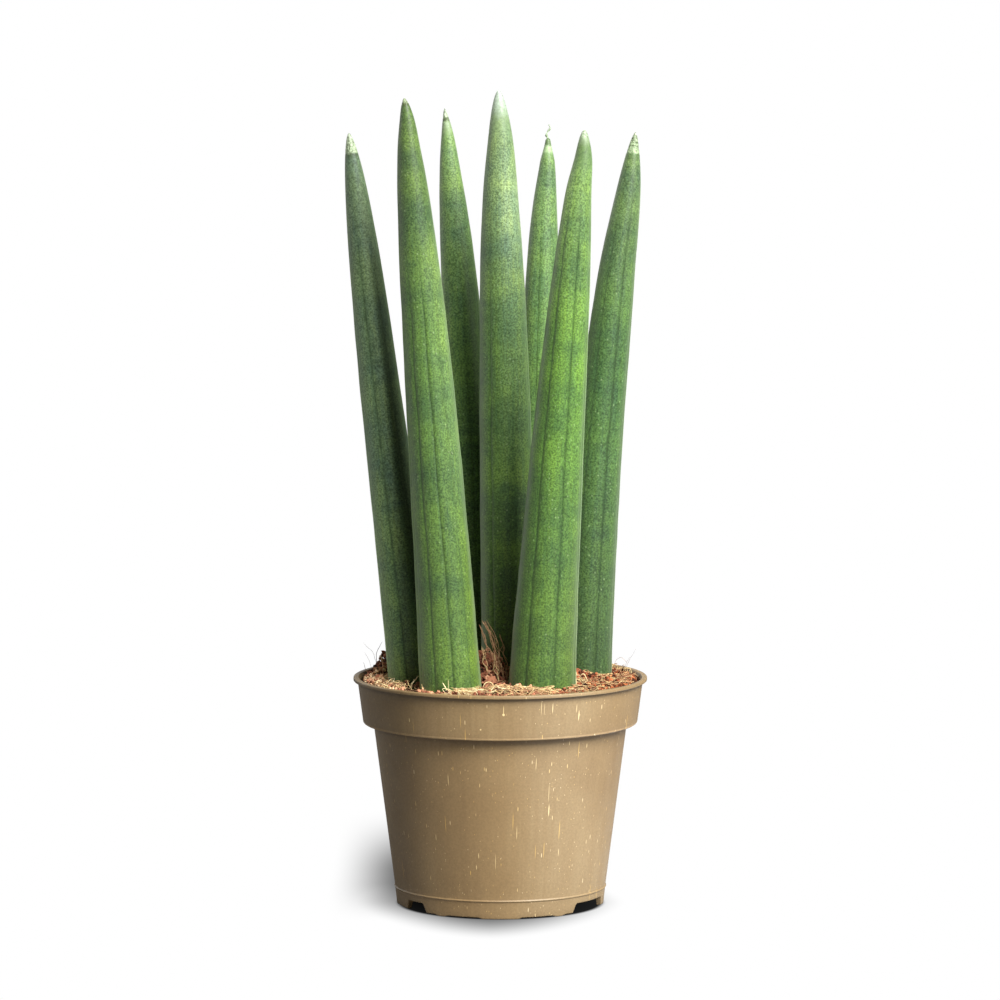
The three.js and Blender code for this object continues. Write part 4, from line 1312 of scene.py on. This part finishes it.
# %% Fibres on the bed
# Drifts of straw-coloured coir fibre: middle x and y, half widths, how many, length, arch,
# thickness and tone.
DRIFTS = [
    (0, 0, 60, 60, 700, 8, 1.0, 0.09, 0.46),
    (6, -47, 19, 4, 150, 9, 1.2, 0.12, 0.58),
    (8, -46, 20, 5, 30, 12, 1.6, 0.20, 0.80),
    (-14, -47, 6, 3, 90, 8, 1.5, 0.12, 0.84),
    (-43, -20, 6, 12, 60, 7, 1.4, 0.12, 0.66),
    (-46, -26, 5, 8, 20, 8, 2.0, 0.2, 0.74),
    (36, -36, 9, 8, 70, 7, 1.1, 0.11, 0.60),
    (46, -6, 7, 14, 120, 6, 1.0, 0.10, 0.52),
    (42, 30, 9, 12, 90, 9, 1.6, 0.10, 0.66),
    (30, -14, 5, 7, 50, 7, 1.3, 0.11, 0.74),
    (0, 46, 30, 8, 160, 9, 1.6, 0.10, 0.62),
]
# Strands that can be told apart in the photograph: points (x, y, height over the bed), then
# thickness and tone.
STRANDS = [
    ([(-50.5, 18, 0.6), (-49.2, 10, 2.6), (-47.6, 0, 0.6)], 0.42, 0.60),
    ([(-46.2, -6, 0.4), (-45.0, -7, 3.0), (-43.6, -10, 0.4)], 0.24, 0.80),
    ([(-42.6, -8, 0.4), (-41.4, -10, 3.2), (-40.6, -11, 4.4)], 0.22, 0.85),
    ([(-44.8, -16, 0.3), (-42.0, -16, 2.0), (-39.6, -18, 0.4)], 0.22, 0.75),
    ([(-36.4, -29, 0.2), (-35.0, -29.5, 3.6), (-33.0, -30, 5.6)], 0.36, 1.0),
    ([(-37.6, -30, 4.0), (-36.9, -31, 2.2), (-35.6, -33, 0.2)], 0.30, 0.80),
    ([(-31.6, -38, 3.4), (-31.3, -40, 1.2), (-31.6, -42, 0.1)], 0.26, 0.72),
    ([(-20.9, -45.4, 6.2), (-20.6, -45.6, 3.8), (-21.3, -46, 0.8)], 0.20, 0.98),
    ([(-23.2, -45.0, 5.0), (-21.6, -46, 2.6), (-19.6, -48, 0.2)], 0.26, 0.98),
    ([(-18.6, -46.6, 0.5), (-13.2, -46.6, 1.5), (-8.6, -47, 0.4)], 0.26, 0.92),
    ([(-16.0, -48.6, 0.4), (-11.6, -47.6, 1.3), (-6.4, -44, 0.3)], 0.22, 0.86),
    ([(-7.6, -36, 0.4), (-6.0, -35, 2.8), (-4.2, -34, 3.2), (-2.0, -35, 0.4)], 0.28, 0.88),
    ([(-0.4, -30, 2.0), (1.9, -32, 1.2), (4.4, -36, 0.9), (7.6, -39, 0.8), (13.6, -39.4, 0.8),
      (17.6, -39.6, 0.7)], 0.36, 0.95),
    ([(15.0, -39.6, 0.7), (18.0, -39.6, 1.0), (20.4, -41, 0.8), (23.4, -44, 0.4)], 0.34, 0.95),
    ([(2.6, -47.4, 0.4), (3.4, -44, 1.8), (4.6, -40, 0.4)], 0.26, 0.86),
    ([(27.4, -41.0, 0.3), (28.4, -41, 1.8), (30.0, -41.4, 1.9), (31.4, -42.4, 0.3)], 0.36, 0.95),
    ([(32.0, -6, 0.3), (32.8, -7, 2.6), (34.4, -7, 3.0), (35.6, -8, 0.6)], 0.28, 0.90),
    ([(30.6, 4.6, 0.6), (35.4, 3.6, 1.0), (40.6, 5.4, 0.8), (46.0, 12, 0.8), (49.0, 14, 0.4)],
     0.34, 0.72),
    ([(47.0, 21, 0.6), (50.0, 23, 2.0), (52.4, 20, 0.4)], 0.22, 0.66),
    ([(30.4, -21, 9.6), (30.5, -21.6, 7.0), (30.9, -22.4, 4.0), (31.0, -23, 0.4)], 0.42, 0.90),
]
# Reddish roots that rise from the crumbs between the middle spears, each a bundle.
ROOTS = [
    ([(-8.6, -9, 16), (-6.2, -11, 11.5), (-3.6, -13.5, 7.5), (-0.2, -17, 4.5)], 0.14, 0.42),
    ([(-7.6, -7, 16), (-4.6, -9, 12.0), (-2.4, -11.5, 8.5), (0.6, -15, 4.0)], 0.15, 0.50),
    ([(-6.6, -6, 15), (-3.2, -9, 10.5), (-1.6, -12, 7.0), (1.4, -17, 1.5)], 0.18, 0.38),
    ([(-5.6, -5.5, 15), (-2.4, -8, 11.5), (-0.2, -12, 6.0), (1.8, -19, 0.6)], 0.12, 0.54),
    ([(-0.2, -7, 12.5), (0.7, -9, 10), (2.0, -12, 5), (3.0, -18, 0.6)], 0.14, 0.46),
    ([(-7.6, -12, 9.6), (-6.2, -14.5, 6.4), (-5.2, -17, 3.0)], 0.11, 0.72),
    ([(-2.6, -13, 8.0), (-1.6, -16, 5.0), (-0.6, -20, 1.0)], 0.11, 0.78),
]
# Thin dark hairs that stand up at both ends of the bed.
HAIRS = [
    ([(-56.0, -2, 15.6), (-54.6, -2, 14.0), (-52.2, -2, 11.2), (-50.6, -2, 6.0), (-49, -1, 0)],
     0.075, 0.05),
    ([(-48.2, 2, 11.6), (-49.6, 2, 10.0), (-50.6, 2, 7.4), (-50.6, 2, 3.5), (-50, 1, 0)], 0.12, 0.0),
    ([(-55.6, -4, 12.0), (-54.0, -4, 9.6), (-52.2, -4, 5.0), (-51, -4, 0)], 0.06, 0.1),
    ([(-55.8, -6, 8.0), (-54.6, -6, 5.0), (-53, -6, 0)], 0.09, 0.1),
    ([(-56.0, -12, 4.6), (-54.4, -11, 3.0), (-52.6, -10, 0)], 0.09, 0.2),
    ([(50.6, 12, 0), (53.0, 11, 7.0), (54.6, 10, 9.6), (55.6, 10, 11.4)], 0.07, 0.1),
    ([(49.6, 7, 0), (52.2, 6, 7.6), (53.1, 6, 8.6)], 0.06, 0.15),
    ([(52.6, 2, 0), (54.4, 1, 2.6), (56.0, 0, 3.4)], 0.08, 0.3),
    ([(46.6, 27, 0), (47.6, 28, 4.6), (50.0, 27, 6.0), (52.6, 24, 3.4)], 0.09, 0.4),
]

straw_finish = coir_finish("coir_straw", tones=STRAW_TONES)
draw = np.random.default_rng(21)
FIBRE_RINGS, STRAND_RINGS = 14, 16
FIBRE_CURL = 1.2
drift_paths, drift_thick, drift_tones = [], [], []
for x_mid, y_mid, x_half, y_half, many, long, arch, thick, tone_mid in DRIFTS:
    x = x_mid + x_half * draw.uniform(-1, 1, many)
    y = y_mid + y_half * draw.uniform(-1, 1, many)
    free = (np.hypot(x, y) < BED_RADIUS - 1.5) & clear_of_leaves(x, y, 0.4)
    x, y = x[free], y[free]
    lengths = long * draw.uniform(0.5, 1.5, len(x))
    heights = arch * draw.uniform(0.3, 1.7, len(x))
    drift_paths.append(curled_paths(x, y, lengths, heights, FIBRE_CURL, FIBRE_RINGS, draw))
    drift_thick.append(thick * draw.uniform(0.6, 1.5, len(x)))
    drift_tones.append(np.clip(draw.normal(tone_mid, 0.16, len(x)), 0.1, 1))
drift_paths, drift_thick = np.concatenate(drift_paths), np.concatenate(drift_thick)
fibres = strands("coir_fibres", drift_paths, taper(drift_thick, FIBRE_RINGS),
                 np.concatenate(drift_tones))
settle(fibres, straw_finish, "coir")

for name, kind, copies, waver in (("coir_strands", STRANDS, 1, 0.35), ("leaf_roots", ROOTS, 3, 1.3),
                                  ("standing_hairs", HAIRS, 1, 0.3)):
    lines, thick, tone = zip(*[strand for strand in kind for _ in range(copies)])
    thick = np.array(thick) * draw.uniform(0.6, 1.1, len(lines))
    paths = laid_paths(lines, STRAND_RINGS, waver, draw)
    settle(strands(name, paths, taper(thick, STRAND_RINGS), tone), straw_finish, "coir")
